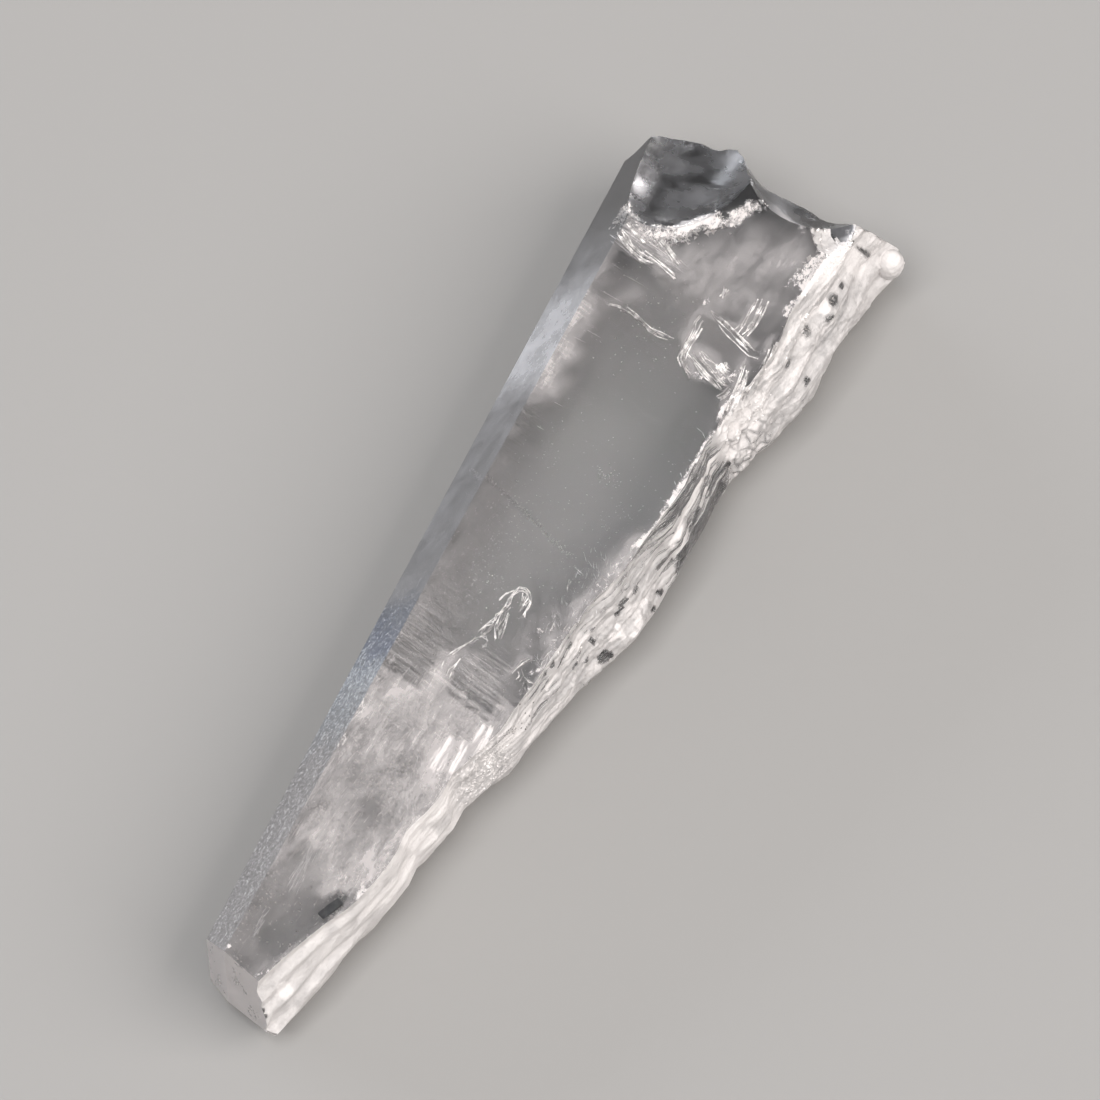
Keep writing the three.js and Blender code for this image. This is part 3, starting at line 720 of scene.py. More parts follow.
def buildShell():
    cad = frame["nodes"]["nifontovite_crystal"]
    alone(cad)
    bpy.ops.object.duplicate()
    shell = bpy.context.object
    shell.parent = None
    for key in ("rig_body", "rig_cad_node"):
        if key in shell:
            del shell[key]
    alone(shell)
    bpy.ops.object.mode_set(mode="EDIT")
    bpy.ops.mesh.select_all(action="SELECT")
    bpy.ops.mesh.remove_doubles(threshold=0.000001)
    bpy.ops.object.mode_set(mode="OBJECT")
    shell.data.materials.clear()
    for make in (growthFace, etchedFace, splinteredBreak, conchoidalFace):
        shell.data.materials.append(make())
    for face in shell.data.polygons:
        face.material_index = sortFace(face)

    # the top becomes one face, the breaks get a finer mesh, then the top is cut into small cells
    selectKinds(shell, liesOnTop)
    bpy.ops.mesh.dissolve_limited(angle_limit=math.radians(1))
    for kind, cuts in ((2, shellPlan["cuts"]), (3, 1)):
        selectKinds(shell, lambda face: face.material_index == kind)
        bpy.ops.mesh.subdivide(number_cuts=cuts)
    selectKinds(shell, liesOnTop)
    bpy.ops.mesh.hide(unselected=True)
    for axis, reach in enumerate((shellPlan["cutsAlong"], shellPlan["cutsAcross"])):
        for step in np.arange(*reach, shellPlan["cell"]):
            spot, normal = [0, 0, 0], [0, 0, 0]
            spot[axis], normal[axis] = step / 1000, 1
            bpy.ops.mesh.select_all(action="SELECT")
            bpy.ops.mesh.bisect(plane_co=spot, plane_no=normal, threshold=1e-7)
    bpy.ops.mesh.select_all(action="SELECT")
    bpy.ops.mesh.subdivide(number_cuts=1)
    bpy.ops.mesh.reveal()
    bpy.ops.mesh.select_all(action="SELECT")
    bpy.ops.mesh.quads_convert_to_tris()
    bpy.ops.object.mode_set(mode="OBJECT")

    paintShell(shell)

    # which corners may move, and how far; the top face follows softly near its broken edge
    broken, lumps = shell.vertex_groups.new(name="broken"), shell.vertex_groups.new(name="lumps")
    touching = {}
    for face in shell.data.polygons:
        for corner in face.vertices:
            kinds = touching.setdefault(corner, set())
            kinds.add((face.material_index, round(face.normal.x, 1), liesOnTop(face)))
    (lumpS, lumpT), lumpRadius = shellPlan["lumps"]
    for corner, kinds in touching.items():
        spot = shell.data.vertices[corner].co * 1000
        s, t = spot.x - startX, startY - spot.y
        if any(k[0] == 3 or (k[0] == 0 and k[1] < -0.5) for k in kinds):
            continue
        rough = shareAlong(shellPlan["rough"], s)
        if any(k[0] == 2 for k in kinds):
            broken.add([corner], float(rough), "REPLACE")
            lump = 1.2 - math.hypot(s - lumpS, (t - lumpT) * 1.2) / lumpRadius
            if lump > 0:
                lumps.add([corner], min(1.0, lump * 2), "REPLACE")
        elif all(k[2] for k in kinds):
            near = 1 - (shareAlong(shellPlan["breakEdge"], s) - t) / 1.3
            if near > 0:
                broken.add([corner], float(rough * min(1.0, near) ** 2), "REPLACE")
    for group, kind, size, stretch, depth, settings in shellPlan["relief"]:
        displaceBreak(shell, group, kind, size, stretch, depth, settings)
    alone(shell)
    bpy.ops.object.shade_smooth_by_angle(angle=math.radians(24))
    # growth faces stay flat right up to their edges
    sharp = shell.data.attributes["sharp_edge"].data if "sharp_edge" in shell.data.attributes else \
        shell.data.attributes.new("sharp_edge", "BOOLEAN", "EDGE").data
    edgeOf = {tuple(sorted(edge.vertices)): edge.index for edge in shell.data.edges}
    for face in shell.data.polygons:
        if face.material_index < 2:
            for key in face.edge_keys:
                sharp[edgeOf[key]].value = True

    shell.name = shell.data.name = "clearCrystal"
    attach(shell, "root")
    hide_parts("nifontovite_crystal")
    print("made clearCrystal", len(shell.data.polygons), "faces")
    return shell


shell = buildShell()
skin = BVHTree.FromPolygons([v.co for v in shell.data.vertices],
    [list(f.vertices) for f in shell.data.polygons])


def underSkin(point):
    # the nearest spot of the surface, its normal, and how deep the point lies under it
    spot, normal, _, distance = skin.find_nearest(point)
    return spot, normal, distance if (point - spot).dot(normal) < 0 else -distance


def pressInside(obj, clearance):
    # draws any corner that comes too near the surface back under it
    for corner in obj.data.vertices:
        spot, normal, depth = underSkin(corner.co)
        if depth < clearance / 1000:
            corner.co = spot - normal * (clearance / 1000)


# Materials of what is sealed inside

def whiteInclusion(name, light, dark, roughness, sheen, scale=1.6, low=0.36, high=0.64):
    # Tiny sealed fluid pockets and healed cracks: light where they are dense, darker where they thin out
    material, add = newMaterial(name)
    mm = millimetres(add)
    cloud = add("TexNoise", {"Vector": mm, "Scale": scale, "Detail": 6.0, "Roughness": 0.65})
    share = add("MapRange", {"Value": cloud, "From Min": low, "From Max": high})
    tint = add("Mix", {0: share, 6: linear(dark), 7: linear(light)}, data_type="RGBA")
    fine = add("TexNoise", {"Vector": mm, "Scale": 9.0, "Detail": 3.0})
    rough = add("MapRange", {"Value": fine, "To Min": roughness - 0.12, "To Max": roughness + 0.12})
    relief = add("Bump", {"Height": fine, "Strength": 0.3, "Distance": 0.00002})
    body = add("BsdfPrincipled", {
        "Base Color": tint.outputs[2], "Metallic": sheen, "Roughness": rough, "IOR": 1.5,
        "Normal": relief})
    add("OutputMaterial", {"Surface": body})
    return material


veilWhite = whiteInclusion("fluidInclusionVeil", "#FFFAF7", "#EDE9E7", 0.7, 0.0)
airCrack = whiteInclusion("airFilledCrack", "#FFFFFF", "#F6F4F4", 0.34, 0.15)
crushedWhite = whiteInclusion("crushedFracture", "#FFFDFB", "#EFE8E4", 0.55, 0.0)
crackThread = whiteInclusion("crackAtTheSurface", "#EEE9E6", "#938F8D", 0.45, 0.05, scale=3.2, low=0.42,
    high=0.6)
bluishFrost = whiteInclusion("bluishEtchFrost", "#DCE8F6", "#A9B9CC", 0.5, 0.0)
greyTablet = whiteInclusion("sealedGreyTablet", "#5B5A5C", "#37383B", 0.45, 0.0, scale=3.0)
# painted shade: a dark grey that stands in for the shade inside the pits of the broken side
paintedPitShade = whiteInclusion("paintedShadeOfPits", "#6B6663", "#454240", 0.6, 0.0)


# Small shapes that are modelled once and then copied

def makeFlake():
    # a squashed, lopsided three-sided chip, six faces
    bpy.ops.object.select_all(action="DESELECT")
    bpy.ops.mesh.primitive_cone_add(vertices=3, radius1=0.5, radius2=0, depth=0.22, end_fill_type="TRIFAN")
    flake = bpy.context.object
    bpy.ops.object.mode_set(mode="EDIT")
    bpy.ops.mesh.select_all(action="DESELECT")
    bpy.ops.object.mode_set(mode="OBJECT")
    for corner in flake.data.vertices:
        corner.select = corner.co.z > 0.05
    bpy.ops.object.mode_set(mode="EDIT")
    bpy.ops.transform.translate(value=(0.16, 0.08, 0))
    bpy.ops.mesh.select_all(action="SELECT")
    bpy.ops.mesh.quads_convert_to_tris()
    bpy.ops.object.mode_set(mode="OBJECT")
    flake.name = "flakePattern"
    return flake


def makeNeedle():
    # a thin spindle along X with three sides, six faces
    bpy.ops.object.select_all(action="DESELECT")
    bpy.ops.mesh.primitive_cone_add(vertices=3, radius1=0.5, radius2=0, depth=1.0, end_fill_type="NGON",
        rotation=(0, math.pi / 2, 0))
    needle = bpy.context.object
    bpy.ops.object.transform_apply(rotation=True)
    bpy.ops.object.mode_set(mode="EDIT")
    bpy.ops.mesh.select_all(action="DESELECT")
    bpy.ops.mesh.select_mode(type="FACE")
    bpy.ops.object.mode_set(mode="OBJECT")
    for face in needle.data.polygons:
        face.select = abs(face.normal.x) > 0.95
    bpy.ops.object.mode_set(mode="EDIT")
    bpy.ops.mesh.extrude_region_move(TRANSFORM_OT_translate={"value": (-0.35, 0, 0)})
    bpy.ops.mesh.merge(type="CENTER")
    bpy.ops.mesh.select_all(action="SELECT")
    bpy.ops.mesh.quads_convert_to_tris()
    bpy.ops.mesh.normals_make_consistent(inside=False)
    bpy.ops.object.mode_set(mode="OBJECT")
    needle.name = "needlePattern"
    return needle


def makeGrain():
    # a rounded grain with blunt facets
    bpy.ops.object.select_all(action="DESELECT")
    bpy.ops.mesh.primitive_ico_sphere_add(subdivisions=1, radius=0.5)
    grain = bpy.context.object
    bpy.ops.object.mode_set(mode="EDIT")
    bpy.ops.mesh.select_all(action="SELECT")
    bpy.ops.transform.resize(value=(1.0, 0.78, 0.66))
    bpy.ops.transform.vertex_random(offset=0.07, seed=4)
    bpy.ops.object.mode_set(mode="OBJECT")
    grain.name = "grainPattern"
    return grain


patterns = {"flake": makeFlake(), "needle": makeNeedle(), "grain": makeGrain()}


def turnsAlong(directions, rolls):
    # a rotation for each copy: its X along the direction, then rolled about it
    d = directions / np.linalg.norm(directions, axis=1, keepdims=True)
    side = np.cross(np.where(np.abs(d[:, 2:3]) > 0.9, (1.0, 0, 0), (0, 0, 1.0)), d)
    side /= np.linalg.norm(side, axis=1, keepdims=True)
    third = np.cross(d, side)
    c, s = np.cos(rolls)[:, None], np.sin(rolls)[:, None]
    return np.stack([d, side * c + third * s, third * c - side * s], axis=2)


def copyMany(name, pattern, places, directions, rolls, sizes):
    # one mesh that holds a turned and sized copy of the pattern at each place
    source = patterns[pattern].data
    points = np.array([v.co for v in source.vertices])
    corners = np.array([list(f.vertices) for f in source.polygons])
    turned = np.einsum("kij,kpj->kpi", turnsAlong(directions, rolls), points[None] * sizes[:, None, :])
    margin = 0.00002      # metres that every piece keeps from the crystal's own box
    turned = np.clip(turned + places[:, None, :], np.array(cadBox[0]) + margin, np.array(cadBox[1]) - margin)
    faces = corners[None] + (np.arange(len(places)) * len(points))[:, None, None]
    mesh = bpy.data.meshes.new(name)
    mesh.from_pydata(turned.reshape(-1, 3).tolist(), [], faces.reshape(-1, 3).tolist())
    obj = bpy.data.objects.new(name, mesh)
    scene.collection.objects.link(obj)
    return obj


def keepInside(points, clearance):
    # which of the points, in metres, lie at least clearance millimetres under the surface
    return np.array([underSkin(Vector(p))[2] > clearance / 1000 for p in points])


def toFrame(stz):
    stz = np.asarray(stz, float)
    return np.stack([stz[:, 0] + startX, startY - stz[:, 1], stz[:, 2]], axis=1) / 1000


def lengthsAlong(path):
    return np.concatenate([[0], np.cumsum(np.linalg.norm(np.diff(path, axis=0), axis=1))])


def pointsAlong(path, at):
    # points of the path at the given lengths from its start
    reach = lengthsAlong(path)
    return np.stack([np.interp(at, reach, path[:, k]) for k in range(3)], 1)


# The milky veil of the narrow third

pocketPlan = {
    "seed": 11, "tries": 50000, "s": (0.9, 15.9), "t": (-0.6, 6.6), "sizes": (0.05, 0.12),
    "depth": 0.92, "crowding": 1.5,     # share of the height that holds pockets, how they crowd to the top
    "clearance": 0.09, "end": 14.9, "thinnest": 0.06,
    # softer and denser lumps: s, t, radius along, radius across, weight
    "lumps": ((13.0, 1.6, 1.8, 1.6, 0.9), (11.5, 3.6, 2.2, 1.6, 1.0), (9.2, 2.3, 2.0, 1.5, 0.8),
              (7.2, 3.6, 2.2, 1.0, 0.9), (7.0, 1.0, 2.0, 0.9, 0.6), (12.6, 5.2, 1.6, 1.0, 0.9),
              (14.3, 3.9, 1.0, 1.4, 0.7), (4.6, 0.3, 2.6, 0.5, 0.5), (2.0, 2.8, 2.2, 0.7, 0.8),
              (5.0, 3.9, 2.4, 0.6, 0.9), (1.3, 0.6, 0.6, 0.9, 0.7)),
}


def veilWeight(s, t, z):
    weight = pocketPlan["thinnest"]
    for ls, lt, rs, rt, w in pocketPlan["lumps"]:
        weight += w * math.exp(-(((s - ls) / rs) ** 2 + ((t - lt) / rt) ** 2))
    patch = noise.turbulence(Vector((s * 0.55, t * 1.1, z * 0.9)), 4, False, noise_basis="PERLIN_ORIGINAL")
    ragged = 0.5 * noise.noise(Vector((t * 2.2, 3.1, 0)))
    edge = 1 / (1 + math.exp((s - pocketPlan["end"] - ragged) * 6))
    return weight * max(0.0, min(1.0, patch * 1.1 + 0.05)) * edge


def buildVeil():
    dice = np.random.default_rng(pocketPlan["seed"])
    tries = pocketPlan["tries"]
    s, t = dice.uniform(*pocketPlan["s"], tries), dice.uniform(*pocketPlan["t"], tries)
    depth = pocketPlan["depth"] * dice.uniform(0, 1, tries) ** pocketPlan["crowding"]
    z = topHeight(s) * (1 - depth) - 0.05
    luck = dice.uniform(0, 1, tries)
    keep = np.array([veilWeight(*p) > q for p, q in zip(zip(s, t, z), luck)])
    points = toFrame(np.stack([s, t, z], 1)[keep])
    points = points[keepInside(points, pocketPlan["clearance"])]
    count = len(points)
    size = dice.uniform(*pocketPlan["sizes"], count)[:, None] / 1000
    directions = dice.normal(0, 1, (count, 3)) * (1.6, 0.8, 0.6)
    veil = copyMany("milkyVeil", "flake", points, directions, dice.uniform(0, 6.28, count),
        size * dice.uniform(0.6, 1.4, (count, 3)))
    return finishPiece(veil, "milkyVeil", veilWhite)


buildVeil()


# Straight lines of growth and healed cracks, as thin needles

def needleField(name, fields, material, clearance=0.03, **shared):
    # each field: seed, count, ranges of s, t and depth, direction and how far it spreads, ranges of length
    # and thickness, and how far s moves with t
    places, turns, rolls, sizes = [], [], [], []
    for field in fields:
        field = {"skew": 0.0, **shared, **field}
        dice = np.random.default_rng(field["seed"])
        count = field["count"]
        s, t = dice.uniform(*field["s"], count), dice.uniform(*field["t"], count)
        s = s + field["skew"] * (t - sum(field["t"]) / 2)
        shallow, deep = field["depth"]
        z = topHeight(s) - dice.uniform(0, 1, count) ** 1.4 * (deep - shallow) - shallow
        places.append(toFrame(np.stack([s, t, z], 1)))
        direction = np.array(field["direction"], float) * (1, -1, 1)
        turns.append(direction + dice.normal(0, field["spread"], (count, 3)))
        rolls.append(dice.normal(0, 0.25, count))
        length, thick = dice.uniform(*field["length"], count), dice.uniform(*field["thick"], count)
        sizes.append(np.stack([length / 1.35, thick * 1.4, thick * 0.4], 1) / 1000)
    places, turns, rolls, sizes = [np.concatenate(rows) for rows in (places, turns, rolls, sizes)]
    ends = turns / np.linalg.norm(turns, axis=1, keepdims=True) * sizes[:, :1] * 0.6
    keep = np.all([keepInside(places + shift, clearance) for shift in (0, ends, -ends)], axis=0)
    needles = copyMany(name, "needle", places[keep], turns[keep], rolls[keep], sizes[keep])
    return finishPiece(needles, name, material)


def flakeField(name, fields, material, pattern="flake", clearance=0.05):
    # each field follows a path of (s, t, z) with a radius, or fills round its one point
    places, turns, rolls, sizes = [], [], [], []
    for field in fields:
        dice = np.random.default_rng(field["seed"])
        count = field["count"]
        path = np.array(field["path"], float)
        core = np.repeat(path[:1], count, 0)
        if len(path) > 1:
            core = pointsAlong(path, dice.uniform(0, lengthsAlong(path)[-1], count))
        places.append(toFrame(core + dice.normal(0, 1, (count, 3)) * np.array(field["radius"])))
        turns.append(dice.normal(0, 1, (count, 3)))
        rolls.append(dice.uniform(0, 6.28, count))
        sizes.append(dice.uniform(*field["size"], count)[:, None] * dice.uniform(0.6, 1.4, (count, 3)) / 1000)
    places, turns, rolls, sizes = [np.concatenate(rows) for rows in (places, turns, rolls, sizes)]
    if clearance < 0:          # half sunk in the surface
        nearest = [skin.find_nearest(Vector(p)) for p in places]
        keep = np.array([distance < 0.0005 for _, _, _, distance in nearest])
        places = np.array([spot + normal * clearance / 1000 for spot, normal, _, _ in nearest])
    else:
        keep = keepInside(places, clearance)
    flakes = copyMany(name, pattern, places[keep], turns[keep], rolls[keep], sizes[keep])
    return finishPiece(flakes, name, material)


across = (-0.23, 1.0, 0.0)
lengthwise = (1.0, 0.12, 0.03)

needleField("combLines", (
    {"seed": 21, "count": 16, "s": (13.9, 15.3), "t": (0.7, 2.3), "length": (0.7, 2.0)},
    {"seed": 22, "count": 18, "s": (14.0, 15.6), "t": (3.2, 5.0), "length": (0.6, 1.8)},
    {"seed": 23, "count": 14, "s": (15.3, 17.4), "t": (0.2, 2.0), "length": (0.4, 1.4)},
), veilWhite, depth=(0.1, 0.6), direction=across, spread=0.012, thick=(0.010, 0.02), skew=-0.23)

needleField("veilFibres", (
    {"seed": 31, "count": 320, "s": (6.5, 14.6), "t": (0.2, 5.8), "depth": (0.1, 2.4), "spread": 0.09,
        "length": (0.25, 1.1), "thick": (0.015, 0.045)},
    {"seed": 32, "count": 26, "s": (1.5, 7.5), "t": (0.3, 3.6), "depth": (0.1, 2.6), "spread": 0.10,
        "length": (0.2, 0.7), "thick": (0.012, 0.03)},
), veilWhite, direction=lengthwise)

needleField("edgeGlowLines", (
    {"seed": 41, "count": 40, "s": (26.9, 30.4), "t": (-0.5, 1.0), "depth": (0.1, 1.7), "spread": 0.03,
        "length": (0.4, 1.5), "thick": (0.02, 0.05)},
    {"seed": 42, "count": 26, "s": (24.5, 32.5), "t": (-0.4, 2.4), "depth": (0.3, 2.4), "spread": 0.04,
        "length": (0.3, 1.2), "thick": (0.012, 0.03)},
), veilWhite, direction=(-0.12, 1, 0))

needleField("edgeHairs", (
    {"seed": 51, "count": 150, "s": (16.2, 21.5), "t": (5.4, 7.2), "depth": (0.05, 0.8),
        "direction": (0.75, -0.4, 0), "spread": 0.35, "thick": (0.012, 0.03)},
    {"seed": 52, "count": 60, "s": (21.0, 27.6), "t": (7.2, 8.4), "depth": (0.05, 0.4),
        "direction": (-0.3, 1, 0), "spread": 0.4, "thick": (0.015, 0.035)},
), airCrack, length=(0.12, 0.5))


# Cracks with air in them that come up to the top face: ragged threads that lie just in its skin

def strandsOf(plan, width, strands, path, dice):
    # ragged lines that follow the path side by side, each a little shorter than the whole
    path = np.array([(s, t, *(height or [round(topHeight(s), 2)])) for s, t, *height in path], float)
    length = lengthsAlong(path)[-1]
    for _ in range(strands):
        first, final = dice.uniform(0, 0.3) * length, dice.uniform(0.7, 1.0) * length
        at = np.linspace(first, final, max(3, int((final - first) / plan["step"])))
        line = pointsAlong(path, at)
        run = np.gradient(line, axis=0)
        side = np.stack([-run[:, 1], run[:, 0], run[:, 2] * 0], 1)
        side /= np.linalg.norm(side, axis=1, keepdims=True) + 1e-9
        shift = dice.uniform(-0.5, 0.5) * width
        wander = np.cumsum(dice.normal(0, 0.018, len(line))) + dice.normal(0, 0.03, len(line))
        line += side * (shift + wander)[:, None]
        line[:, 2] += dice.uniform(-0.03, 0.01)
        yield line, dice.uniform(0.4, 1.3, len(line)) * plan["thread"]


def addStrand(obj, line, widths):
    # lies nearly flat, so that light from above catches it: one extrusion for each stretch
    spots = [place(*spot) for spot in line]
    last = len(spots) - 1
    sides = []
    for i in range(last + 1):
        run = (spots[min(i + 1, last)] - spots[max(i - 1, 0)]).normalized()
        flat = Vector((-run.y, run.x, 0)).normalized()
        sides.append((flat + Vector((0, 0, -0.4))).normalized() * widths[i] / 2000)
    bpy.ops.mesh.select_all(action="DESELECT")
    bpy.ops.mesh.primitive_plane_add(size=0.001, location=spots[0])
    mesh = bmesh.from_edit_mesh(obj.data)
    for corner in [v for v in mesh.verts if v.select]:
        leading, upper = corner.co.x > spots[0].x, corner.co.y > spots[0].y
        corner.co = spots[int(leading)] + sides[int(leading)] * (1 if upper else -1)
        corner.select = leading
    mesh.select_flush(True)
    mesh.select_flush(False)
    bmesh.update_edit_mesh(obj.data)
    for i in range(1, last):
        bpy.ops.mesh.extrude_region_move(TRANSFORM_OT_translate={"value": spots[i + 1] - spots[i]})
        mesh = bmesh.from_edit_mesh(obj.data)
        for corner in [v for v in mesh.verts if v.select]:
            upper = (corner.co - spots[i + 1]).dot(sides[i]) > 0
            corner.co = spots[i + 1] + sides[i + 1] * (1 if upper else -1)
        bmesh.update_edit_mesh(obj.data)


def buildCrack(name, plan):
    dice = np.random.default_rng(crackSeed)
    bpy.ops.object.select_all(action="DESELECT")
    bpy.ops.mesh.primitive_plane_add(size=0.001)
    crack = bpy.context.object
    bpy.ops.object.mode_set(mode="EDIT")
    bpy.ops.mesh.select_mode(type="VERT")
    bpy.ops.mesh.select_all(action="SELECT")
    bpy.ops.mesh.delete(type="VERT")
    for blade in plan["blades"]:
        for line, widths in strandsOf(plan, *blade, dice):
            addStrand(crack, line, widths)
    bpy.ops.object.mode_set(mode="OBJECT")
    pressInside(crack, crackClearance)
    applyModifier(crack, "SOLIDIFY", thickness=plan["thick"] / 1000, offset=0.0)
    return finishPiece(crack, name, crackThread)


crackSeed = 5
crackClearance = -0.006     # mm under the surface: threads may stand this little above it
# thread: width of one thread, step: its stretches, thick: its thickness, all in mm
# blades: width over all threads in mm, how many threads, and the path as (s, t), or (s, t, z) where it does
# not lie quite on the top face
crackPlans = {
    "featherCrack": {"thread": 0.036, "step": 0.18, "thick": 0.02, "blades": (
        (0.18, 4, ((15.04, 2.58), (15.43, 2.79), (15.79, 3.02, 4.63), (16.16, 3.25), (16.38, 3.41))),
        (0.12, 4, ((16.38, 3.42), (16.62, 3.3), (16.93, 3.42), (17.15, 3.58), (17.64, 3.62),
            (17.97, 3.77), (18.22, 3.68), (18.48, 3.76), (18.76, 3.89), (18.82, 4.17), (18.6, 4.41),
            (18.19, 4.47), (17.8, 4.42), (17.45, 4.39))),
        (0.06, 2, ((18.02, 3.41), (18.32, 3.57), (18.57, 3.72), (18.77, 3.89))),
        (0.1, 3, ((16.16, 3.25), (16.52, 3.48), (16.77, 3.63), (16.98, 3.7), (17.18, 3.64))),
        (0.07, 2, ((16.27, 3.48), (16.06, 3.75), (16.53, 3.72), (16.47, 3.52), (16.27, 3.48))),
        (0.12, 4, ((18, 3.91), (17.8, 3.81), (17.44, 3.81), (16.99, 3.86), (16.61, 4.08))),
        (0.16, 4, ((16.62, 4.08), (17.04, 4.05), (17.54, 4.01), (17.93, 3.99))),
        (0.11, 3, ((18.68, 4.1), (18.42, 4.19), (18.08, 4.25), (17.81, 4.28))),
        (0.07, 2, ((18.65, 4.28), (18.28, 4.35, 4.76), (17.91, 4.36))),
        (0.06, 2, ((16.79, 3.83), (16.7, 3.94), (16.62, 4.08))),
        (0.1, 3, ((15.04, 2.58), (14.54, 2.59), (13.99, 2.66))),
        (0.1, 3, ((15.5, 3.17), (14.9, 3.05), (14.11, 3.07))),
    )},
    "stepCracks": {"thread": 0.036, "step": 0.18, "thick": 0.02, "blades": (
        (0.13, 3, ((15.47, 5.07), (15.64, 5.12), (16.04, 5.2), (16.24, 5.3), (16.34, 5.46), (16.48, 5.59))),
        (0.18, 3, ((15.85, 5.26), (15.65, 5.44), (15.43, 5.43))),
        (0.1, 2, ((15.3, 5.63), (15.09, 5.96), (14.89, 6.29))),
        (0.07, 2, ((15.71, 5.56), (15.63, 5.94), (15.58, 6.23))),
        (0.11, 2, ((16.14, 5.96), (16.69, 5.96), (17.24, 5.96))),
        (0.1, 2, ((17.24, 5.96), (17.13, 6.22, 4.7), (16.93, 6.49))),
        (0.2, 3, ((14.93, 6.4), (15.59, 6.42), (16.25, 6.44), (16.79, 6.51))),
        (0.06, 2, ((17.67, 5.12), (17.61, 5.3), (17.55, 5.48))),
        (0.06, 2, ((18, 5.63), (17.86, 5.65), (17.71, 5.67))),
        (0.07, 2, ((18.33, 6.18), (18.02, 6.21), (17.71, 6.25))),
        (0.07, 2, ((20.05, 6.35), (20.51, 6.4), (20.32, 6.85))),
        (0.06, 2, ((20.01, 5.37), (19.68, 5.48), (19.46, 5.46), (19.35, 5.61))),
    )},
    "angularFracture": {"thread": 0.045, "step": 0.28, "thick": 0.03, "blades": (
        (0.38, 10, ((31.87, 5.38), (31.21, 5.31), (30.46, 5.28), (29.8, 5.21), (29.39, 5.67), (29.05, 6.08))),
        (0.54, 16, ((30.23, 5.48), (29.95, 5.99), (29.71, 6.58), (29.42, 7.09), (29.37, 7.54))),
        (0.32, 10, ((31.87, 5.37), (31.66, 6.04), (31.36, 6.75), (31.06, 7.46), (31.06, 7.93))),
        (0.41, 10, ((33.32, 7.02), (32.63, 7.01), (31.88, 6.98), (31.45, 6.85))),
        (0.27, 10, ((31.73, 8.17), (30.96, 8.29), (30.53, 8.26))),
        (0.23, 8, ((33.12, 5.55), (32.87, 5.58), (32.61, 5.6))),
        (0.54, 16, ((30.2, 6.64), (30, 6.84), (29.9, 7.09))),
        (0.31, 10, ((30.59, 7.61), (29.54, 7.73), (28.92, 7.79), (28.31, 7.81))),
        (0.22, 8, ((30.16, 8.23), (29.75, 8.24), (29.24, 8.24))),
        (0.22, 8, ((28.81, 7.26), (29.19, 7.43), (29.36, 7.49))),
    )},
    "farStripes": {"thread": 0.045, "step": 0.3, "thick": 0.03, "blades": (
        (0.31, 10, ((33.67, 0.62), (33.28, 1.38), (32.87, 2.1), (32.85, 2.73))),
        (0.26, 10, ((33.93, 2.31), (33.59, 2.95), (33.25, 3.58))),
        (0.22, 6, ((33.24, 1.97), (33.01, 2.84), (32.83, 3.59), (32.68, 3.85))),
        (0.17, 6, ((34.02, 1.01), (33.68, 1.71), (33.38, 2.31))),
        (0.12, 6, ((30.64, 1.78), (30.66, 2.73), (30.34, 3.64), (30.22, 4.74))),
    )},
}
for name, plan in crackPlans.items():
    buildCrack(name, plan)

needleField("cleavageStreaks", (
    {"seed": 55, "count": 120, "s": (11.0, 12.3), "t": (4.05, 4.45), "depth": (0.06, 0.7),
        "direction": (1, -0.05, 0.05), "length": (0.4, 1.3), "thick": (0.025, 0.07)},
    {"seed": 56, "count": 120, "s": (11.0, 12.4), "t": (4.65, 5.0), "depth": (0.06, 0.7),
        "direction": (1, -0.12, 0.05), "length": (0.4, 1.3), "thick": (0.025, 0.07)},
    {"seed": 57, "count": 200, "s": (10.8, 13.2), "t": (5.2, 5.8), "depth": (0.06, 0.8),
        "direction": (1, -0.1, 0.05), "length": (0.5, 1.6), "thick": (0.03, 0.08)},
    {"seed": 58, "count": 60, "s": (9.2, 11.6), "t": (3.4, 4.2), "depth": (0.06, 0.9),
        "direction": (1, -0.3, 0.05), "spread": 0.08, "length": (0.3, 0.9), "thick": (0.02, 0.05)},
    {"seed": 59, "count": 44, "s": (5.0, 6.6), "t": (1.3, 1.7), "depth": (0.3, 0.9),
        "direction": (1, 0.0, 0.05), "spread": 0.05, "length": (0.3, 0.9), "thick": (0.015, 0.03)},
    {"seed": 53, "count": 40, "s": (32.9, 34.0), "t": (0.3, 3.6), "depth": (0.06, 0.5),
        "direction": (-0.33, 1, 0), "spread": 0.04, "length": (0.5, 1.6), "thick": (0.03, 0.08),
        "skew": -0.3},
    {"seed": 60, "count": 24, "s": (2.8, 3.7), "t": (1.0, 1.15), "depth": (0.4, 0.8),
        "direction": (1, 0.1, 0.05), "spread": 0.05, "length": (0.2, 0.5), "thick": (0.02, 0.04)},
), airCrack, spread=0.03)


# Frosted lumps and powdery patches: size and radius in mm, path as (s, t, z)

flakeField("rimFrost", (
    {"seed": 61, "count": 900, "size": (0.10, 0.26), "radius": (0.20, 0.16, 0.12), "path": (
        (34.07, 2.03, 5.25), (34.20, 2.64, 5.25), (34.58, 3.12, 5.27), (35.10, 3.45, 5.29),
        (35.42, 3.78, 5.3), (35.43, 4.15, 5.3))},
    {"seed": 62, "count": 260, "size": (0.10, 0.24), "radius": (0.14, 0.12, 0.12), "path": (
        (35.61, 4.54, 5.3), (36.14, 4.77, 5.3), (36.59, 4.94, 5.3), (36.66, 5.20, 5.3))},
    {"seed": 63, "count": 420, "size": (0.08, 0.22), "radius": (0.16, 0.14, 0.14), "path": (
        (34.12, 0.05, 5.2), (34.83, 0.2, 5.2), (34.75, 0.66, 5.25), (34.27, 1.23, 5.25), (33.97, 1.51, 5.2))},
), crushedWhite, clearance=-0.06)

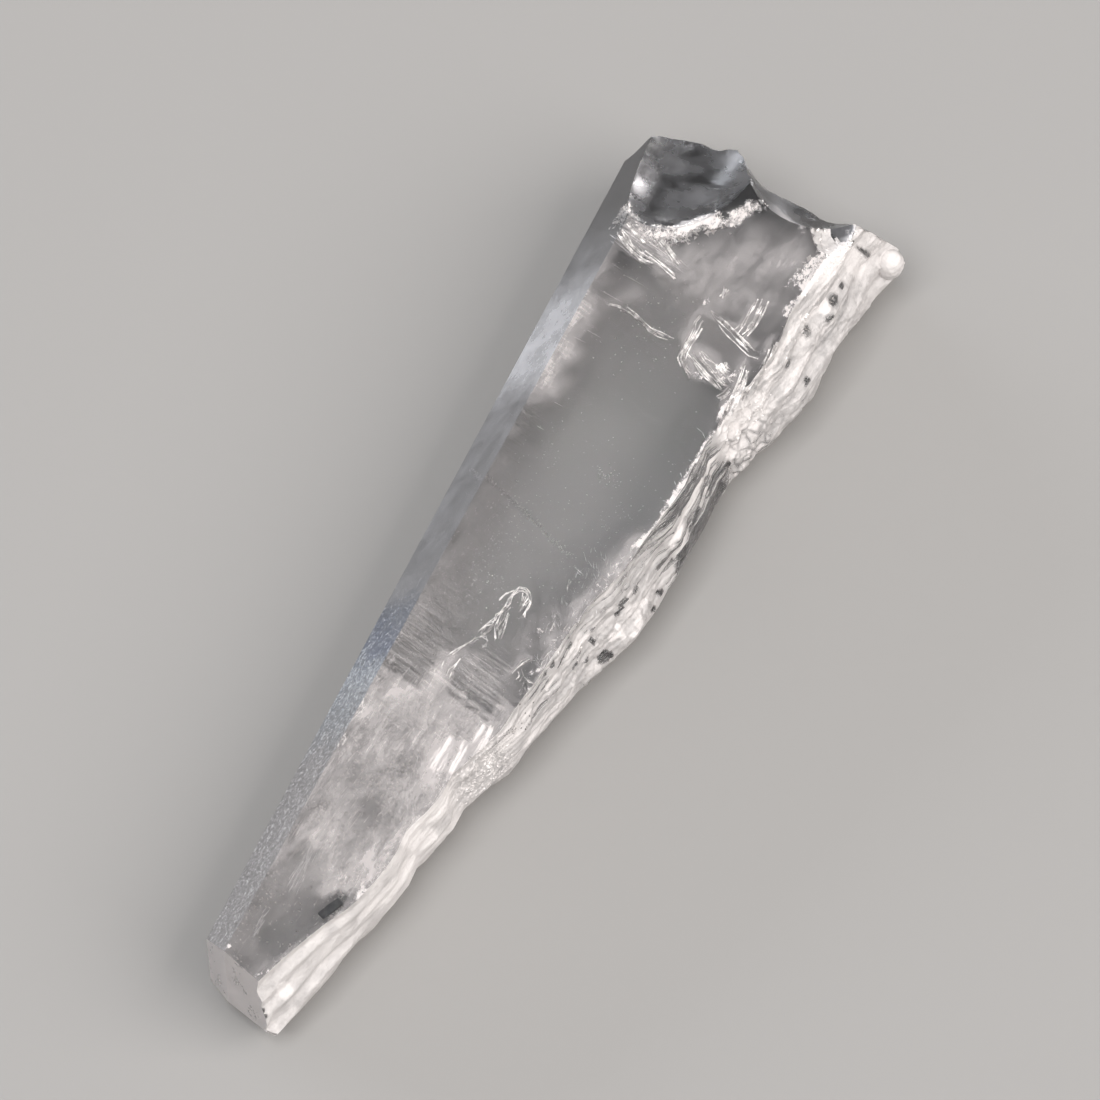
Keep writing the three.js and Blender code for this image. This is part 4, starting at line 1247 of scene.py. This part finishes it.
flakeField("cornerFrost", (
    {"seed": 64, "count": 420, "size": (0.10, 0.26), "radius": (0.45, 0.35, 0.2), "path": (
        (34.9, 8.3, 5.6), (36.0, 8.7, 5.6), (36.6, 9.2, 5.6))},
    {"seed": 65, "count": 300, "size": (0.08, 0.22), "radius": (0.5, 0.3, 0.3), "path": (
        (34.4, 9.0, 4.5), (33.0, 8.8, 4.7), (31.4, 8.7, 4.8), (30.2, 8.6, 4.6))},
), crushedWhite, clearance=-0.07)

flakeField("tabletBase", (
    {"seed": 66, "count": 90, "size": (0.06, 0.16), "radius": (0.10, 0.05, 0.08), "path": (
        (4.2, 3.26, 3.6), (4.6, 3.5, 3.6))},
    {"seed": 67, "count": 160, "size": (0.05, 0.14), "radius": (0.5, 0.16, 0.3), "path": (
        (5.8, 3.0, 3.2), (6.6, 3.2, 3.2))},
), crushedWhite)

flakeField("sugaryGrains", (
    {"seed": 68, "count": 320, "size": (0.04, 0.09), "radius": (0.3, 0.2, 0.4), "path": (
        (11.2, 5.5, 2.9), (12.0, 5.7, 3.1), (12.9, 5.9, 3.3), (13.3, 6.0, 3.0))},
    {"seed": 77, "count": 240, "size": (0.04, 0.09), "radius": (0.6, 0.2, 0.5), "path": (
        (28.5, 8.3, 4.2), (29.4, 8.6, 4.0))},
    {"seed": 78, "count": 120, "size": (0.03, 0.07), "radius": (1.0, 0.2, 0.5), "path": (
        (16, 6.6, 3.6), (21, 7.8, 3.2))},
), crushedWhite, pattern="grain", clearance=-0.02)

flakeField("lineCrack", (
    {"seed": 69, "count": 260, "size": (0.025, 0.07), "radius": (0.03, 0.03, 0.25), "path": (
        (23.01, -0.1, 3.6), (22.91, 0.29, 3.5), (22.65, 0.91, 3.5), (22.52, 1.30, 3.5), (22.17, 2.29, 3.4),
        (21.86, 3.06, 3.4), (21.54, 3.82, 3.4), (21.33, 4.33, 3.4), (21.20, 5.01, 3.4))},
    {"seed": 70, "count": 36, "size": (0.04, 0.10), "radius": (0.05, 0.05, 0.1), "path": (
        (22.9, 0.3, 3.6), (22.6, 1.1, 3.5))},
), veilWhite)

flakeField("driftingSpecks", (
    {"seed": 71, "count": 900, "size": (0.02, 0.06), "radius": (2.2, 1.1, 0.9), "path": (
        (16.5, 1.4, 2.8), (22, 2.0, 2.8))},
    {"seed": 72, "count": 420, "size": (0.02, 0.05), "radius": (2.4, 1.4, 0.9), "path": (
        (18, 4.5, 3.0), (26, 5.2, 3.0))},
    {"seed": 73, "count": 34, "size": (0.04, 0.09), "radius": (0.2, 0.25, 0.15), "path": ((24.8, 4.6, 3.3),)},
    {"seed": 74, "count": 500, "size": (0.02, 0.06), "radius": (1.6, 0.8, 0.8), "path": (
        (18.5, 6.0, 3.8), (21.5, 6.6, 4.0))},
    {"seed": 75, "count": 200, "size": (0.03, 0.09), "radius": (1.2, 1.6, 0.8), "path": (
        (30, 1.6, 4.0), (33, 3.0, 4.2))},
), veilWhite)

flakeField("bevelFrost", (
    {"seed": 76, "count": 900, "size": (0.04, 0.10), "radius": (0.5, 0.12, 0.3), "path": (
        (12.0, 0.15, 3.9), (17.2, -0.1, 4.0))},
), bluishFrost, clearance=0.04)


# The dark tablet sealed near the narrow end

tabletPlan = {
    "corners": ((4.25, 2.83), (5.09, 3.21), (4.98, 3.51), (4.14, 3.12)), "z": 3.76, "thick": 0.20,
    "bevel": 0.03, "wear": 0.008,
}


def buildTablet():
    bpy.ops.object.select_all(action="DESELECT")
    bpy.ops.mesh.primitive_circle_add(vertices=4, radius=0.001, fill_type="NGON")
    tablet = bpy.context.object
    for corner, (s, t) in zip(tablet.data.vertices, tabletPlan["corners"]):
        corner.co = place(s, t, tabletPlan["z"])
    bpy.ops.object.mode_set(mode="EDIT")
    bpy.ops.mesh.select_all(action="SELECT")
    bpy.ops.mesh.extrude_region_move(TRANSFORM_OT_translate={"value": (0, 0, tabletPlan["thick"] / 1000)})
    bpy.ops.mesh.select_all(action="SELECT")
    bpy.ops.mesh.normals_make_consistent(inside=False)
    bpy.ops.mesh.bevel(offset=tabletPlan["bevel"] / 1000, segments=2, affect="EDGES")
    bpy.ops.mesh.select_all(action="SELECT")
    bpy.ops.mesh.subdivide(number_cuts=3)
    bpy.ops.transform.vertex_random(offset=tabletPlan["wear"] / 1000, seed=6)
    bpy.ops.mesh.normals_make_consistent(inside=False)
    bpy.ops.object.mode_set(mode="OBJECT")
    return finishPiece(tablet, "sealedTablet", greyTablet)


buildTablet()

# dark grains half sunk where the broken side is pitted, coloured dark as painted shade of the pits
flakeField("breakPits", (
    {"seed": 91, "count": 34, "size": (0.04, 0.09), "radius": (0.12, 0.12, 0.12), "path": (
        (13.53, 5.71, 4.45), (13.58, 6.00, 4.2), (14.03, 6.20, 3.58))},
    {"seed": 92, "count": 16, "size": (0.04, 0.09), "radius": (0.2, 0.2, 0.25), "path": (
        (14.8, 6.2, 3.7), (14.1, 6.3, 2.9))},
), paintedPitShade, pattern="grain", clearance=-0.01)

for pattern in patterns.values():
    bpy.data.objects.remove(pattern)
